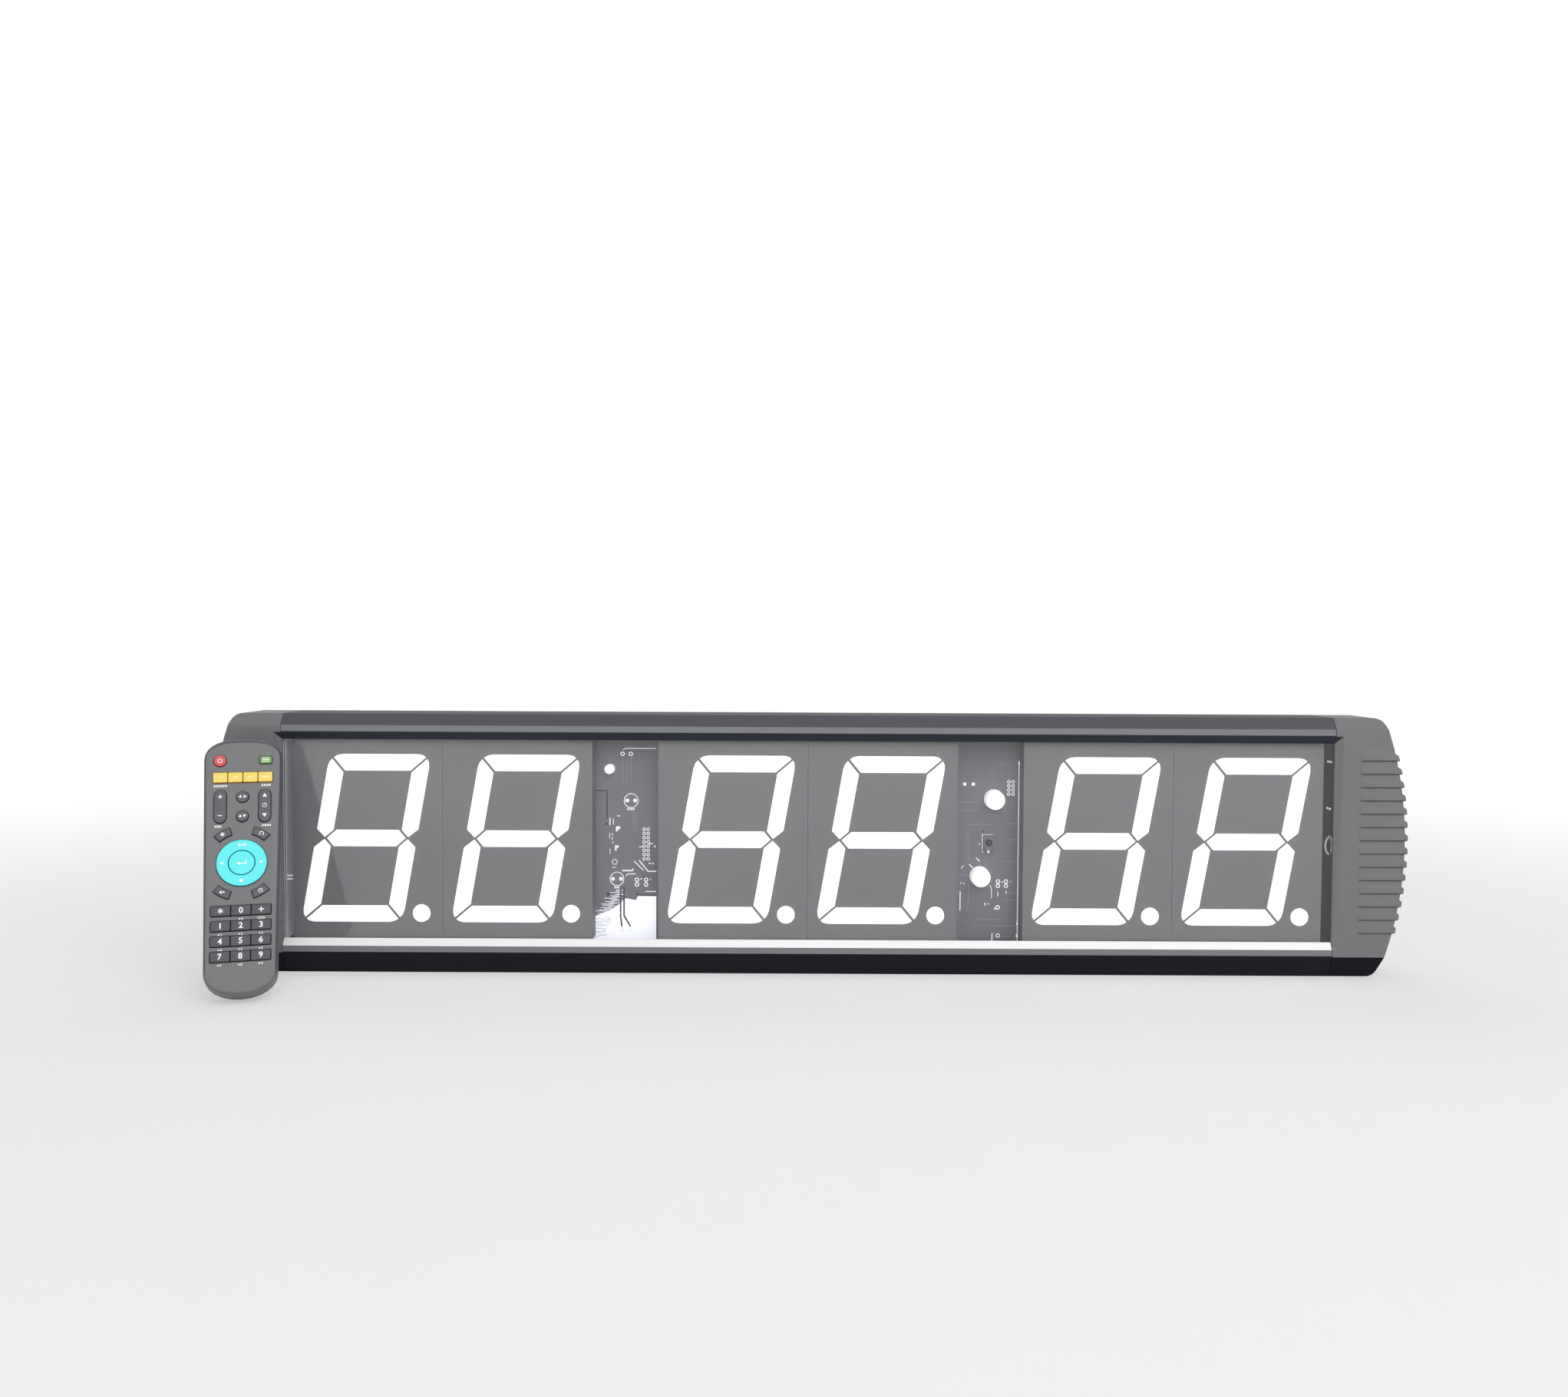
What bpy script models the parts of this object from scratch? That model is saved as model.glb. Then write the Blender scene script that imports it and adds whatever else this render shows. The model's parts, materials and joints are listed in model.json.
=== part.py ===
"""Digital wall timer with six four-inch digits, and its remote control leaning in front of it.

Metres, +Z up. The timer's front faces -Y. The origin is the middle of the case's flat underside.
The timer is an extruded case with two moulded end caps, and the remote is two shells with
twenty-eight separate keys.
"""
import math

import bmesh
import bpy
from mathutils import Matrix, Vector

# Fits
SEAT_GAP = 0.0003
KEY_GAP = 0.0003

# Case extrusion
CASE_LENGTH = 0.628
CASE_HEIGHT = 0.156
CASE_DEPTH = 0.042
CASE_WALL = 0.0017
CHAMFER_DEPTH = 0.006
TOP_CHAMFER_RISE = 0.0068
BOTTOM_CHAMFER_RISE = 0.0128
RIM_WIDTH = 0.0041
BEVEL_RISE = 0.0043
BEVEL_DEPTH = 0.0026
LIP_THICKNESS = 0.0008
LIP_GRIP = 0.0037
RIB_THICKNESS = 0.0014
RIB_GRIP = 0.0016

# Front window
WINDOW_THICKNESS = 0.0024

# Digit modules
MODULE_COUNT = 6
MODULE_TUCK = 0.0012
MODULE_END_STRIP = 0.0047
MODULE_DEPTH = 0.015
MODULE_GAP = 0.0393
MODULE_SKIRT = 0.0012
MODULE_FLOOR = 0.0026
MODULE_CLEARANCE = 0.0005
FILL_SLAB = 0.002
DIGIT_SIDE_MARGIN = 0.0144
DIGIT_END_MARGIN = 0.0102
DIGIT_SHIFT = -0.001
DIGIT_SLANT = 0.176
STROKE = 0.0103
STROKE_GAP = 0.001
STROKE_CORNER = 0.0013
DIGIT_CORNER = 0.008
NOTCH_DEPTH = 0.006
NOTCH_RISE = 0.0054
POINT_DIAMETER = 0.0111
POINT_FROM_EDGE = 0.0128

# Display board and what stands on it
BOARD_THICKNESS = 0.0016
BOARD_END_GAP = 0.002
GUIDE_RISE = 0.0028
GUIDE_THICKNESS = 0.0012
COLON_DIAMETER = 0.012
COLON_HEIGHT = 0.008
COLON_SPREAD = 0.0472
COLON_CROWN = 0.0004
STATUS_DIAMETER = 0.006
STATUS_HEIGHT = 0.006
STATUS_CROWN = 0.001
STATUS_RISE = 0.0412
STATUS_SHIFT = 0.0109
RECEIVER_WIDTH = 0.006
RECEIVER_HEIGHT = 0.009
RECEIVER_DEPTH = 0.0035
RECEIVER_DOME = 0.0018
RECEIVER_SHIFT = (0.0010, -0.0028)

# Power inlet
JACK_FROM_END = 0.114
JACK_Z = 0.022
JACK_BODY = 0.011
JACK_BARREL = 0.0043
JACK_BORE = 0.0029
JACK_PIN = 0.00105
JACK_BORE_DEPTH = 0.0095
JACK_LEDGE = 0.0005

# Keyhole slots in the back
KEYHOLE_FROM_END = 0.064
KEYHOLE_FROM_TOP = 0.038
KEYHOLE_HEAD = 0.0055
KEYHOLE_SLOT = 0.0025
KEYHOLE_RUN = 0.011

# End caps
CAP_LENGTH = 0.0423
CAP_ARC = 0.220
CAP_CORNER = 0.006
CAP_WALL = 0.0024
CAP_LAND = 0.007
RIB_COUNT = 14
RIB_PITCH = 0.00795
RIB_HEIGHT = 0.0042
RIB_FROM_JOINT = 0.0148
RIB_FRONT = 0.001
RIB_SIDE = 0.0018
RIB_BACK_MARGIN = 0.004

# Cap screws and their ports
PORT_Y = 0.014
PORT_FROM_WALL = 0.0063
PORT_OUTER = 0.0036
PORT_NECK = 0.0024
PORT_MOUTH = math.radians(50)
SCREW_SHANK = 0.0013
SCREW_HEAD = 0.0036
SCREW_HEAD_HEIGHT = 0.0024
SCREW_DOME = 0.0010
SCREW_BITE = 0.014
SCREW_SEAT = 0.004
TUNNEL_GAP = 0.001
TUNNEL_WALL = 0.0019
SCREW_STEPS = 14

# Remote control shells
REMOTE_LENGTH = 0.149
REMOTE_HALF_TOP = 0.0212
REMOTE_HALF_FOOT = 0.0192
REMOTE_DEPTH = 0.018
REMOTE_WALL = 0.0018
REMOTE_TOP_ARC = 0.0134
REMOTE_FOOT_ARC = 0.0130
REMOTE_TOP_POWER = 2.4
REMOTE_FOOT_POWER = 2.1
FACE_BAND = 0.0018
FACE_CROWN = 0.0036
FACE_DROP = 0.0040
FACE_SHOULDER = (0.0007, 0.0014)
CROWN_SHOULDER = 0.0016
BACK_BAND = 0.0028
BACK_DROP = 0.0030
BACK_SHOULDER = (0.0009, 0.0010)
REMOTE_FROM_JOINT = 0.0008
REMOTE_LEAN = math.radians(23.5)
REMOTE_TURN = math.radians(18.0)

# Remote control insides
REMOTE_BOARD_THICKNESS = 0.001
REMOTE_BOARD_DROP = 0.0024
BATTERY_RADIUS = 0.00525
BATTERY_LENGTH = 0.0435
BATTERY_NUB = 0.001
BATTERY_NUB_RADIUS = 0.002
BATTERY_FOOT = 0.0165
CONTACT_THICKNESS = 0.0008
CONTACT_RISE = 0.009
LAMP_RADIUS = 0.0015
LAMP_LENGTH = 0.007
DOOR_WIDTH = 0.0262
DOOR_FOOT = 0.0125
DOOR_LENGTH = 0.0530
DOOR_CORNER = 0.002
GRIP_COUNT = 3
GRIP_PITCH = 0.003
GRIP_SIZE = (0.012, 0.001)
GRIP_DEPTH = 0.0005

# Remote control keys, with their places on a remote of the measured length
MEASURED_LENGTH = 0.149
KEY_PROUD = 0.0012
KEY_FLANGE = 0.0008
KEY_CORNER = 0.0008
KEY_LIP = 0.0006
ROW_KEY_CORNER = 0.0005
POWER_AT = (-0.0124, 0.1347)
POWER_RADIUS = 0.0034
EDIT_AT = (0.0123, 0.1347)
EDIT_SIZE = (0.0067, 0.0043)
COLOUR_ROW = 0.1245
COLOUR_PITCH = 0.0081
COLOUR_HEIGHT = 0.0060
ROCKER_X = 0.0119
ROCKER_ROW = 0.1073
ROCKER_SIZE = (0.0066, 0.0198)
ROCKER_DROP = 0.0006
ROUND_ROWS = (0.1127, 0.1012)
ROUND_RADIUS = 0.0033
RING_ROW = 0.0739
RING_RADIUS = 0.0134
CENTRE_RADIUS = 0.0069
CORNER_INNER = 0.0172
CORNER_OUTER = 0.0217
CORNER_ANGLE = math.radians(59.5)
CORNER_SPREAD = math.radians(12.5)
PAD_TOP_ROW = 0.0467
PAD_ROW_PITCH = 0.0085
PAD_COLUMN_PITCH = 0.0106
PAD_HEIGHT = 0.0058

# Places worked out from the sizes above
FRONT = -CASE_DEPTH / 2
BACK = CASE_DEPTH / 2
CASE_END = CASE_LENGTH / 2
RIM_OUTER = (CASE_HEIGHT - TOP_CHAMFER_RISE - BOTTOM_CHAMFER_RISE) / 2
RIM_INNER = RIM_OUTER - RIM_WIDTH
OPENING = RIM_INNER - BEVEL_RISE
WINDOW_CENTRE = BOTTOM_CHAMFER_RISE + RIM_OUTER
TOP_REACH = CASE_HEIGHT - WINDOW_CENTRE
BOTTOM_REACH = WINDOW_CENTRE
LIP_BACK = FRONT + BEVEL_DEPTH + LIP_THICKNESS
GROOVE_REACH = OPENING + LIP_GRIP
WINDOW_FRONT = LIP_BACK + SEAT_GAP
WINDOW_BACK = WINDOW_FRONT + WINDOW_THICKNESS
RIB_FACE = WINDOW_BACK + SEAT_GAP
MODULE_FRONT = WINDOW_BACK + MODULE_CLEARANCE
MODULE_BACK = MODULE_FRONT + MODULE_DEPTH
MODULE_PITCH = (CASE_LENGTH - 2 * MODULE_GAP - 2 * MODULE_END_STRIP) / MODULE_COUNT
MODULE_HEIGHT = 2 * (OPENING + MODULE_TUCK)
DIGIT_WIDTH = MODULE_PITCH - 2 * DIGIT_SIDE_MARGIN
DIGIT_HEIGHT = MODULE_HEIGHT - 2 * DIGIT_END_MARGIN
BOARD_FRONT = MODULE_BACK + SEAT_GAP
BOARD_BACK = BOARD_FRONT + BOARD_THICKNESS
GAP_CENTRE = MODULE_PITCH + MODULE_GAP / 2
JACK_X = CASE_END - JACK_FROM_END
KEYHOLE_X = CASE_END - KEYHOLE_FROM_END
KEYHOLE_Z = CASE_HEIGHT - KEYHOLE_FROM_TOP
CAP_INNER = CASE_END + SEAT_GAP
CAP_REACH = CASE_END + CAP_LENGTH
RIB_START = CASE_END + RIB_FROM_JOINT
RIB_FACE_FRONT = FRONT - RIB_FRONT
SCREW_BORE = SCREW_SHANK + SEAT_GAP
REMOTE_X = REMOTE_FROM_JOINT - CASE_END
REMOTE_FRONT = -REMOTE_DEPTH / 2
REMOTE_BACK = REMOTE_DEPTH / 2
SHELL_INSIDE = REMOTE_FRONT + REMOTE_WALL
REMOTE_BOARD_FRONT = SHELL_INSIDE + REMOTE_BOARD_DROP
REMOTE_BOARD_BACK = REMOTE_BOARD_FRONT + REMOTE_BOARD_THICKNESS
BATTERY_AXIS = REMOTE_BOARD_BACK + SEAT_GAP + BATTERY_RADIUS
FLANGE_FACE = SHELL_INSIDE + KEY_GAP
KEY_STRETCH = REMOTE_LENGTH / MEASURED_LENGTH
POWER_CENTRE = (POWER_AT[0], POWER_AT[1] * KEY_STRETCH)
EDIT_CENTRE = (EDIT_AT[0], EDIT_AT[1] * KEY_STRETCH)
COLOUR_LINE = COLOUR_ROW * KEY_STRETCH
ROCKER_LINE = ROCKER_ROW * KEY_STRETCH
ROCKER_FORM = (ROCKER_SIZE[0], ROCKER_SIZE[1] * KEY_STRETCH)
ROUND_LINES = (ROUND_ROWS[0] * KEY_STRETCH, ROUND_ROWS[1] * KEY_STRETCH)
RING_LINE = RING_ROW * KEY_STRETCH
RING_EDGE = RING_RADIUS * KEY_STRETCH
CENTRE_EDGE = CENTRE_RADIUS * KEY_STRETCH
CORNER_EDGES = (CORNER_INNER * KEY_STRETCH, CORNER_OUTER * KEY_STRETCH)
PAD_TOP_LINE = PAD_TOP_ROW * KEY_STRETCH
PAD_LINE_PITCH = PAD_ROW_PITCH * KEY_STRETCH
PAD_KEY_HEIGHT = PAD_HEIGHT * KEY_STRETCH


def clear_scene():
    for item in list(bpy.data.objects):
        bpy.data.objects.remove(item, do_unlink=True)


def material(name, colour, roughness, metallic=0.0):
    """One plain shader with the piece's own colour."""
    made = bpy.data.materials.get(name)
    if made is None:
        made = bpy.data.materials.new(name)
        made.use_nodes = True
        shader = made.node_tree.nodes["Principled BSDF"]
        shader.inputs["Base Color"].default_value = (*colour, 1.0)
        shader.inputs["Roughness"].default_value = roughness
        shader.inputs["Metallic"].default_value = metallic
    return made


def grey_anodised():
    return material("grey_anodised", (0.20, 0.20, 0.22), 0.40, 0.8)


def grey_plastic():
    return material("grey_plastic", (0.20, 0.20, 0.21), 0.55)


def smoked_window():
    return material("smoked_window", (0.05, 0.05, 0.055), 0.08)


def screw_steel():
    return material("screw_steel", (0.45, 0.45, 0.46), 0.35, 1.0)


def dark_board():
    return material("dark_board", (0.16, 0.16, 0.17), 0.45)


def module_grey():
    return material("module_grey", (0.19, 0.19, 0.20), 0.60)


def milk_white():
    return material("milk_white", (0.90, 0.90, 0.90), 0.35)


def receiver_black():
    return material("receiver_black", (0.02, 0.02, 0.025), 0.25)


def black_plastic():
    return material("black_plastic", (0.02, 0.02, 0.02), 0.45)


def remote_plastic():
    return material("remote_plastic", (0.21, 0.21, 0.22), 0.50)


def green_board():
    return material("green_board", (0.03, 0.16, 0.07), 0.45)


def battery_wrap():
    return material("battery_wrap", (0.08, 0.10, 0.12), 0.30)


def key_rubber(name, colour):
    return material("key_rubber_" + name, colour, 0.60)


def area(points):
    """Signed area of a flat outline, positive when it runs anticlockwise."""
    total = 0.0
    for (ax, ay), (bx, by) in zip(points, points[1:] + points[:1]):
        total += ax * by - bx * ay
    return total / 2


def offset_vertex(before, corner, after, distance):
    """Where the corner lies once both of its edges move to their left by the distance."""
    first = (Vector(corner) - Vector(before)).normalized()
    second = (Vector(after) - Vector(corner)).normalized()
    normal_a = Vector((-first.y, first.x))
    normal_b = Vector((-second.y, second.x))
    bisector = (normal_a + normal_b).normalized()
    return tuple(Vector(corner) + bisector * (distance / bisector.dot(normal_a)))


def inset(points, distance):
    """The outline moved inward by the distance; a negative distance moves it outward."""
    ring = list(points) if area(points) > 0 else list(reversed(points))
    count = len(ring)
    return [offset_vertex(ring[i - 1], ring[i], ring[(i + 1) % count], distance)
            for i in range(count)]


def circle(radius, steps, centre=(0.0, 0.0)):
    turn = 2 * math.pi / steps
    return [(centre[0] + radius * math.cos(turn * i), centre[1] + radius * math.sin(turn * i))
            for i in range(steps)]


def arc(centre, radius, start, end, steps):
    sweep = (end - start) / steps
    return [(centre[0] + radius * math.cos(start + sweep * i),
             centre[1] + radius * math.sin(start + sweep * i)) for i in range(steps + 1)]


def rounded_box(width, height, radius, steps=2):
    """Anticlockwise outline of a rectangle with round corners, about its own centre."""
    half_x = width / 2 - radius
    half_y = height / 2 - radius
    points = []
    for quarter, (sx, sy) in enumerate(((1, 1), (-1, 1), (-1, -1), (1, -1))):
        start = quarter * math.pi / 2
        points += arc((sx * half_x, sy * half_y), radius, start, start + math.pi / 2, steps)
    return points


def clip(points, anchor, normal):
    """The part of a convex outline on the normal's side of the line through the anchor."""
    kept = []
    for here, there in zip(points, points[1:] + points[:1]):
        side_here = (here[0] - anchor[0]) * normal[0] + (here[1] - anchor[1]) * normal[1]
        side_there = (there[0] - anchor[0]) * normal[0] + (there[1] - anchor[1]) * normal[1]
        if side_here >= 0:
            kept.append(here)
        if (side_here > 0 > side_there) or (side_here < 0 < side_there):
            share = side_here / (side_here - side_there)
            kept.append((here[0] + share * (there[0] - here[0]),
                         here[1] + share * (there[1] - here[1])))
    return kept


def placed(axis, flat, along):
    """A point of a flat outline in space: the outline lies square to the named axis."""
    if axis == "X":
        return Vector((along, flat[0], flat[1]))
    if axis == "Y":
        return Vector((flat[0], along, flat[1]))
    return Vector((flat[0], flat[1], along))


def loft(bm, rings):
    """Skin closed rings of points in order, with flat ends; a ring of one point is a tip."""
    loops = [[bm.verts.new(point) for point in ring] for ring in rings]
    for low, high in zip(loops, loops[1:]):
        count = max(len(low), len(high))
        for i in range(count):
            j = (i + 1) % count
            if len(low) == 1:
                bm.faces.new((low[0], high[j], high[i]))
            elif len(high) == 1:
                bm.faces.new((low[i], low[j], high[0]))
            else:
                bm.faces.new((low[i], low[j], high[j], high[i]))
    for end in (loops[0], loops[-1]):
        if len(end) > 2:
            bm.faces.new(end)


def finished_mesh(bm, name):
    bmesh.ops.recalc_face_normals(bm, faces=bm.faces)
    mesh = bpy.data.meshes.new(name)
    bm.to_mesh(mesh)
    bm.free()
    return mesh


def prisms(axis, outlines, low, high):
    """A mesh of straight prisms, one for each flat outline."""
    bm = bmesh.new()
    for outline in outlines:
        loft(bm, [[placed(axis, flat, along) for flat in outline] for along in (low, high)])
    return finished_mesh(bm, "prisms")


def skinned(axis, levels):
    """A mesh that skins outlines of equal counts, each given with its place on the axis."""
    bm = bmesh.new()
    loft(bm, [[placed(axis, flat, along) for flat in outline] for outline, along in levels])
    return finished_mesh(bm, "skinned")


def turned(axis, profile, centre, steps):
    """A mesh turned about the axis through the centre: the profile is (radius, along) pairs."""
    bm = bmesh.new()
    rings = []
    for radius, along in profile:
        if radius == 0:
            rings.append([placed(axis, centre, along)])
        else:
            rings.append([placed(axis, flat, along) for flat in circle(radius, steps, centre)])
    loft(bm, rings)
    return finished_mesh(bm, "turned")


def box(low, high):
    corners = [(low[0], low[1]), (high[0], low[1]), (high[0], high[1]), (low[0], high[1])]
    return prisms("Z", [corners], low[2], high[2])


def combine(base, tool, operation):
    """Add, cut or intersect one mesh with another, and give the mesh that results."""
    body = bpy.data.objects.new("body", base)
    cutter = bpy.data.objects.new("cutter", tool)
    for item in (body, cutter):
        bpy.context.scene.collection.objects.link(item)
    modifier = body.modifiers.new(operation.lower(), "BOOLEAN")
    modifier.operation = operation
    modifier.solver = "EXACT"
    modifier.object = cutter
    bpy.context.view_layer.update()
    depsgraph = bpy.context.evaluated_depsgraph_get()
    result = bpy.data.meshes.new_from_object(body.evaluated_get(depsgraph))
    for item in (body, cutter):
        bpy.data.objects.remove(item, do_unlink=True)
    return result


def cut(base, *tools):
    for tool in tools:
        base = combine(base, tool, "DIFFERENCE")
    return base


def add(base, *tools):
    for tool in tools:
        base = combine(base, tool, "UNION")
    return base


def node(name, mesh, finish, parent=None, location=(0.0, 0.0, 0.0)):
    """A named piece with its own finish; its origin is at the location under its parent."""
    mesh.name = name
    mesh.materials.clear()
    mesh.materials.append(finish)
    piece = bpy.data.objects.new(name, mesh)
    bpy.context.scene.collection.objects.link(piece)
    piece.parent = parent
    piece.location = location
    return piece


def smooth(piece, angle=40.0):
    piece.data.shade_smooth()
    piece.data.set_sharp_from_angle(angle=math.radians(angle))


def mirrored(mesh):
    """The mesh turned over left to right, with its faces still pointing out."""
    copy = mesh.copy()
    copy.transform(Matrix.Scale(-1, 4, (1, 0, 0)))
    copy.flip_normals()
    return copy


# Case extrusion

def outer_half(reach, rise):
    """Outer side of the case section from the window lip to the back, as (y, distance) pairs."""
    return [(LIP_BACK, OPENING), (FRONT + BEVEL_DEPTH, OPENING), (FRONT, RIM_INNER),
            (FRONT, reach - rise), (FRONT + CHAMFER_DEPTH, reach), (BACK, reach)]


def chamfer_inside(reach, rise, wall):
    """The two corners of the wall's inner side along a chamfer."""
    line = [(FRONT, OPENING), (FRONT, reach - rise), (FRONT + CHAMFER_DEPTH, reach),
            (BACK, reach)]
    return [offset_vertex(line[0], line[1], line[2], -wall),
            offset_vertex(line[1], line[2], line[3], -wall)]


def port_half(reach):
    """A screw port hanging on its neck from the wall, open towards the middle of the case."""
    wall_face = reach - CASE_WALL
    centre = (PORT_Y, wall_face - PORT_FROM_WALL)
    neck = math.asin(PORT_NECK / 2 / PORT_OUTER)
    up = math.pi / 2
    down = 3 * math.pi / 2
    outer_in = arc(centre, PORT_OUTER, up + neck, down - PORT_MOUTH, 7)
    inner = arc(centre, SCREW_BORE, down - PORT_MOUTH, PORT_MOUTH - up, 10)
    outer_out = arc(centre, PORT_OUTER, PORT_MOUTH - up, up - neck, 7)
    return ([(PORT_Y - PORT_NECK / 2, wall_face)] + outer_in + inner + outer_out
            + [(PORT_Y + PORT_NECK / 2, wall_face)])


def guide_half(reach):
    """Two low ribs that hold an edge of the display board between them."""
    wall_face = reach - CASE_WALL
    points = []
    front_rib = BOARD_FRONT - SEAT_GAP - GUIDE_THICKNESS
    back_rib = BOARD_BACK + SEAT_GAP
    for start in (front_rib, back_rib):
        end = start + GUIDE_THICKNESS
        points += [(start, wall_face), (start, wall_face - GUIDE_RISE),
                   (end, wall_face - GUIDE_RISE), (end, wall_face)]
    return points


def inner_half(reach, rise):
    """Inner side of the case section from the window groove to the back."""
    web = GROOVE_REACH + CASE_WALL
    corners = chamfer_inside(reach, rise, CASE_WALL)
    rib_edge = GROOVE_REACH - RIB_GRIP
    return ([(LIP_BACK, GROOVE_REACH), (RIB_FACE, GROOVE_REACH), (RIB_FACE, rib_edge),
             (RIB_FACE + RIB_THICKNESS, rib_edge), (RIB_FACE + RIB_THICKNESS, web),
             (FRONT + CASE_WALL, web)]
            + corners + guide_half(reach) + port_half(reach)
            + [(BACK - CASE_WALL, reach - CASE_WALL)])


def above(points):
    return [(y, WINDOW_CENTRE + rise) for y, rise in points]


def below(points):
    return [(y, WINDOW_CENTRE - rise) for y, rise in points]


def case_section():
    """The whole closed section: outer side round the back, then the inner side back again."""
    outer_top = above(outer_half(TOP_REACH, TOP_CHAMFER_RISE))
    outer_bottom = below(outer_half(BOTTOM_REACH, BOTTOM_CHAMFER_RISE))
    inner_top = above(inner_half(TOP_REACH, TOP_CHAMFER_RISE))
    inner_bottom = below(inner_half(BOTTOM_REACH, BOTTOM_CHAMFER_RISE))
    return outer_top + outer_bottom[::-1] + inner_bottom + inner_top[::-1]


def keyhole(x):
    """Outline of a keyhole slot: a round head with a narrow slot above it."""
    half_angle = math.asin(KEYHOLE_SLOT / KEYHOLE_HEAD)
    head = arc((x, KEYHOLE_Z), KEYHOLE_HEAD, math.pi / 2 + half_angle,
               5 * math.pi / 2 - half_angle, 18)
    return head + arc((x, KEYHOLE_Z + KEYHOLE_RUN), KEYHOLE_SLOT, 0, math.pi, 8)


def make_case():
    body = prisms("X", [case_section()], -CASE_END, CASE_END)
    holes = [keyhole(-KEYHOLE_X), keyhole(KEYHOLE_X),
             circle(JACK_BARREL + SEAT_GAP, 24, (JACK_X, JACK_Z))]
    through = prisms("Y", holes, BACK - 2 * CASE_WALL, BACK + CASE_WALL)
    piece = node("case_extrusion", cut(body, through), grey_anodised())
    smooth(piece, 25)


def make_window():
    half_height = GROOVE_REACH - SEAT_GAP
    pane = box((-CASE_END, WINDOW_FRONT, WINDOW_CENTRE - half_height),
               (CASE_END, WINDOW_BACK, WINDOW_CENTRE + half_height))
    node("front_window", pane, smoked_window())


# End caps

def cap_outline(grow):
    """Front outline of the right cap from its joint outward, grown sideways by an amount."""
    radius = CAP_ARC + grow
    corner = CAP_CORNER + grow
    centre = (CAP_REACH - CAP_ARC, WINDOW_CENTRE)
    points = [(CAP_INNER, WINDOW_CENTRE - BOTTOM_REACH - grow)]
    turns = []
    for sign, reach in ((-1, BOTTOM_REACH + grow), (1, TOP_REACH + grow)):
        rise = reach - corner
        run = math.sqrt((radius - corner) ** 2 - rise ** 2)
        turns.append((centre[0] + run, centre[1] + sign * rise, math.atan2(rise, run)))
    (low_x, low_z, low_angle), (high_x, high_z, high_angle) = turns
    points += arc((low_x, low_z), corner, -math.pi / 2, -low_angle, 4)
    points += arc(centre, radius, -low_angle, high_angle, 14)[1:-1]
    points += arc((high_x, high_z), corner, high_angle, math.pi / 2, 4)
    points.append((CAP_INNER, WINDOW_CENTRE + TOP_REACH + grow))
    return points


def cap_side(wall):
    """Side outline of a cap, the same as the case's outer side, drawn in by a wall."""
    top = TOP_REACH
    bottom = BOTTOM_REACH
    outline = [(FRONT, WINDOW_CENTRE - RIM_OUTER), (FRONT + CHAMFER_DEPTH, WINDOW_CENTRE - bottom),
               (BACK, WINDOW_CENTRE - bottom), (BACK, WINDOW_CENTRE + top),
               (FRONT + CHAMFER_DEPTH, WINDOW_CENTRE + top),
               (FRONT, WINDOW_CENTRE + top - TOP_CHAMFER_RISE)]
    return inset(outline, wall)


def cap_hollow():
    """The room inside a cap, open towards the case, with a thicker front at the joint."""
    reach = CAP_REACH + RIB_SIDE
    deep = prisms("X", [cap_side(CAP_WALL)], CAP_INNER - CAP_WALL, reach)
    front_view = [(x - (CAP_WALL if x > CAP_INNER else 0), z) for x, z in cap_outline(-CAP_WALL)]
    front_view = [(x if x > CAP_INNER else CAP_INNER - 2 * CAP_WALL, z) for x, z in front_view]
    room = combine(deep, prisms("Y", [front_view], FRONT, BACK), "INTERSECT")
    land = box((CAP_INNER - 2 * CAP_WALL, FRONT - CAP_WALL, 0),
               (CAP_INNER + CAP_LAND, RIB_FACE - SEAT_GAP, CASE_HEIGHT))
    return cut(room, land)


def cap_ribs():
    """Finger ribs that wrap from the front face round the side of a cap."""
    outline = cap_outline(RIB_SIDE)
    slabs = []
    for index in range(RIB_COUNT):
        middle = WINDOW_CENTRE + (index - (RIB_COUNT - 1) / 2) * RIB_PITCH
        low, high = middle - RIB_HEIGHT / 2, middle + RIB_HEIGHT / 2
        reach = CAP_REACH + RIB_SIDE + CAP_WALL
        slabs.append([(RIB_START, low), (reach, low), (reach, high), (RIB_START, high)])
    back = BACK - RIB_BACK_MARGIN
    grown = prisms("Y", [outline], RIB_FACE_FRONT, back)
    return combine(grown, prisms("Y", slabs, RIB_FACE_FRONT - RIB_FRONT, back + RIB_FRONT),
                   "INTERSECT")


def window_mitre():
    """The sloped end of the window surround, cut into a cap's front."""
    def frame(reach, end):
        return [(0, WINDOW_CENTRE - reach), (end, WINDOW_CENTRE - reach),
                (end, WINDOW_CENTRE + reach), (0, WINDOW_CENTRE + reach)]
    slope = BEVEL_RISE / BEVEL_DEPTH
    over = RIB_FRONT
    front_end = CAP_INNER + BEVEL_RISE
    return skinned("Y", [(frame(RIM_INNER + over * slope, front_end + over * slope),
                          FRONT - over),
                         (frame(OPENING, CAP_INNER), FRONT + BEVEL_DEPTH)])


def screw_places():
    return [WINDOW_CENTRE + TOP_REACH - CASE_WALL - PORT_FROM_WALL,
            WINDOW_CENTRE - BOTTOM_REACH + CASE_WALL + PORT_FROM_WALL]


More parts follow.
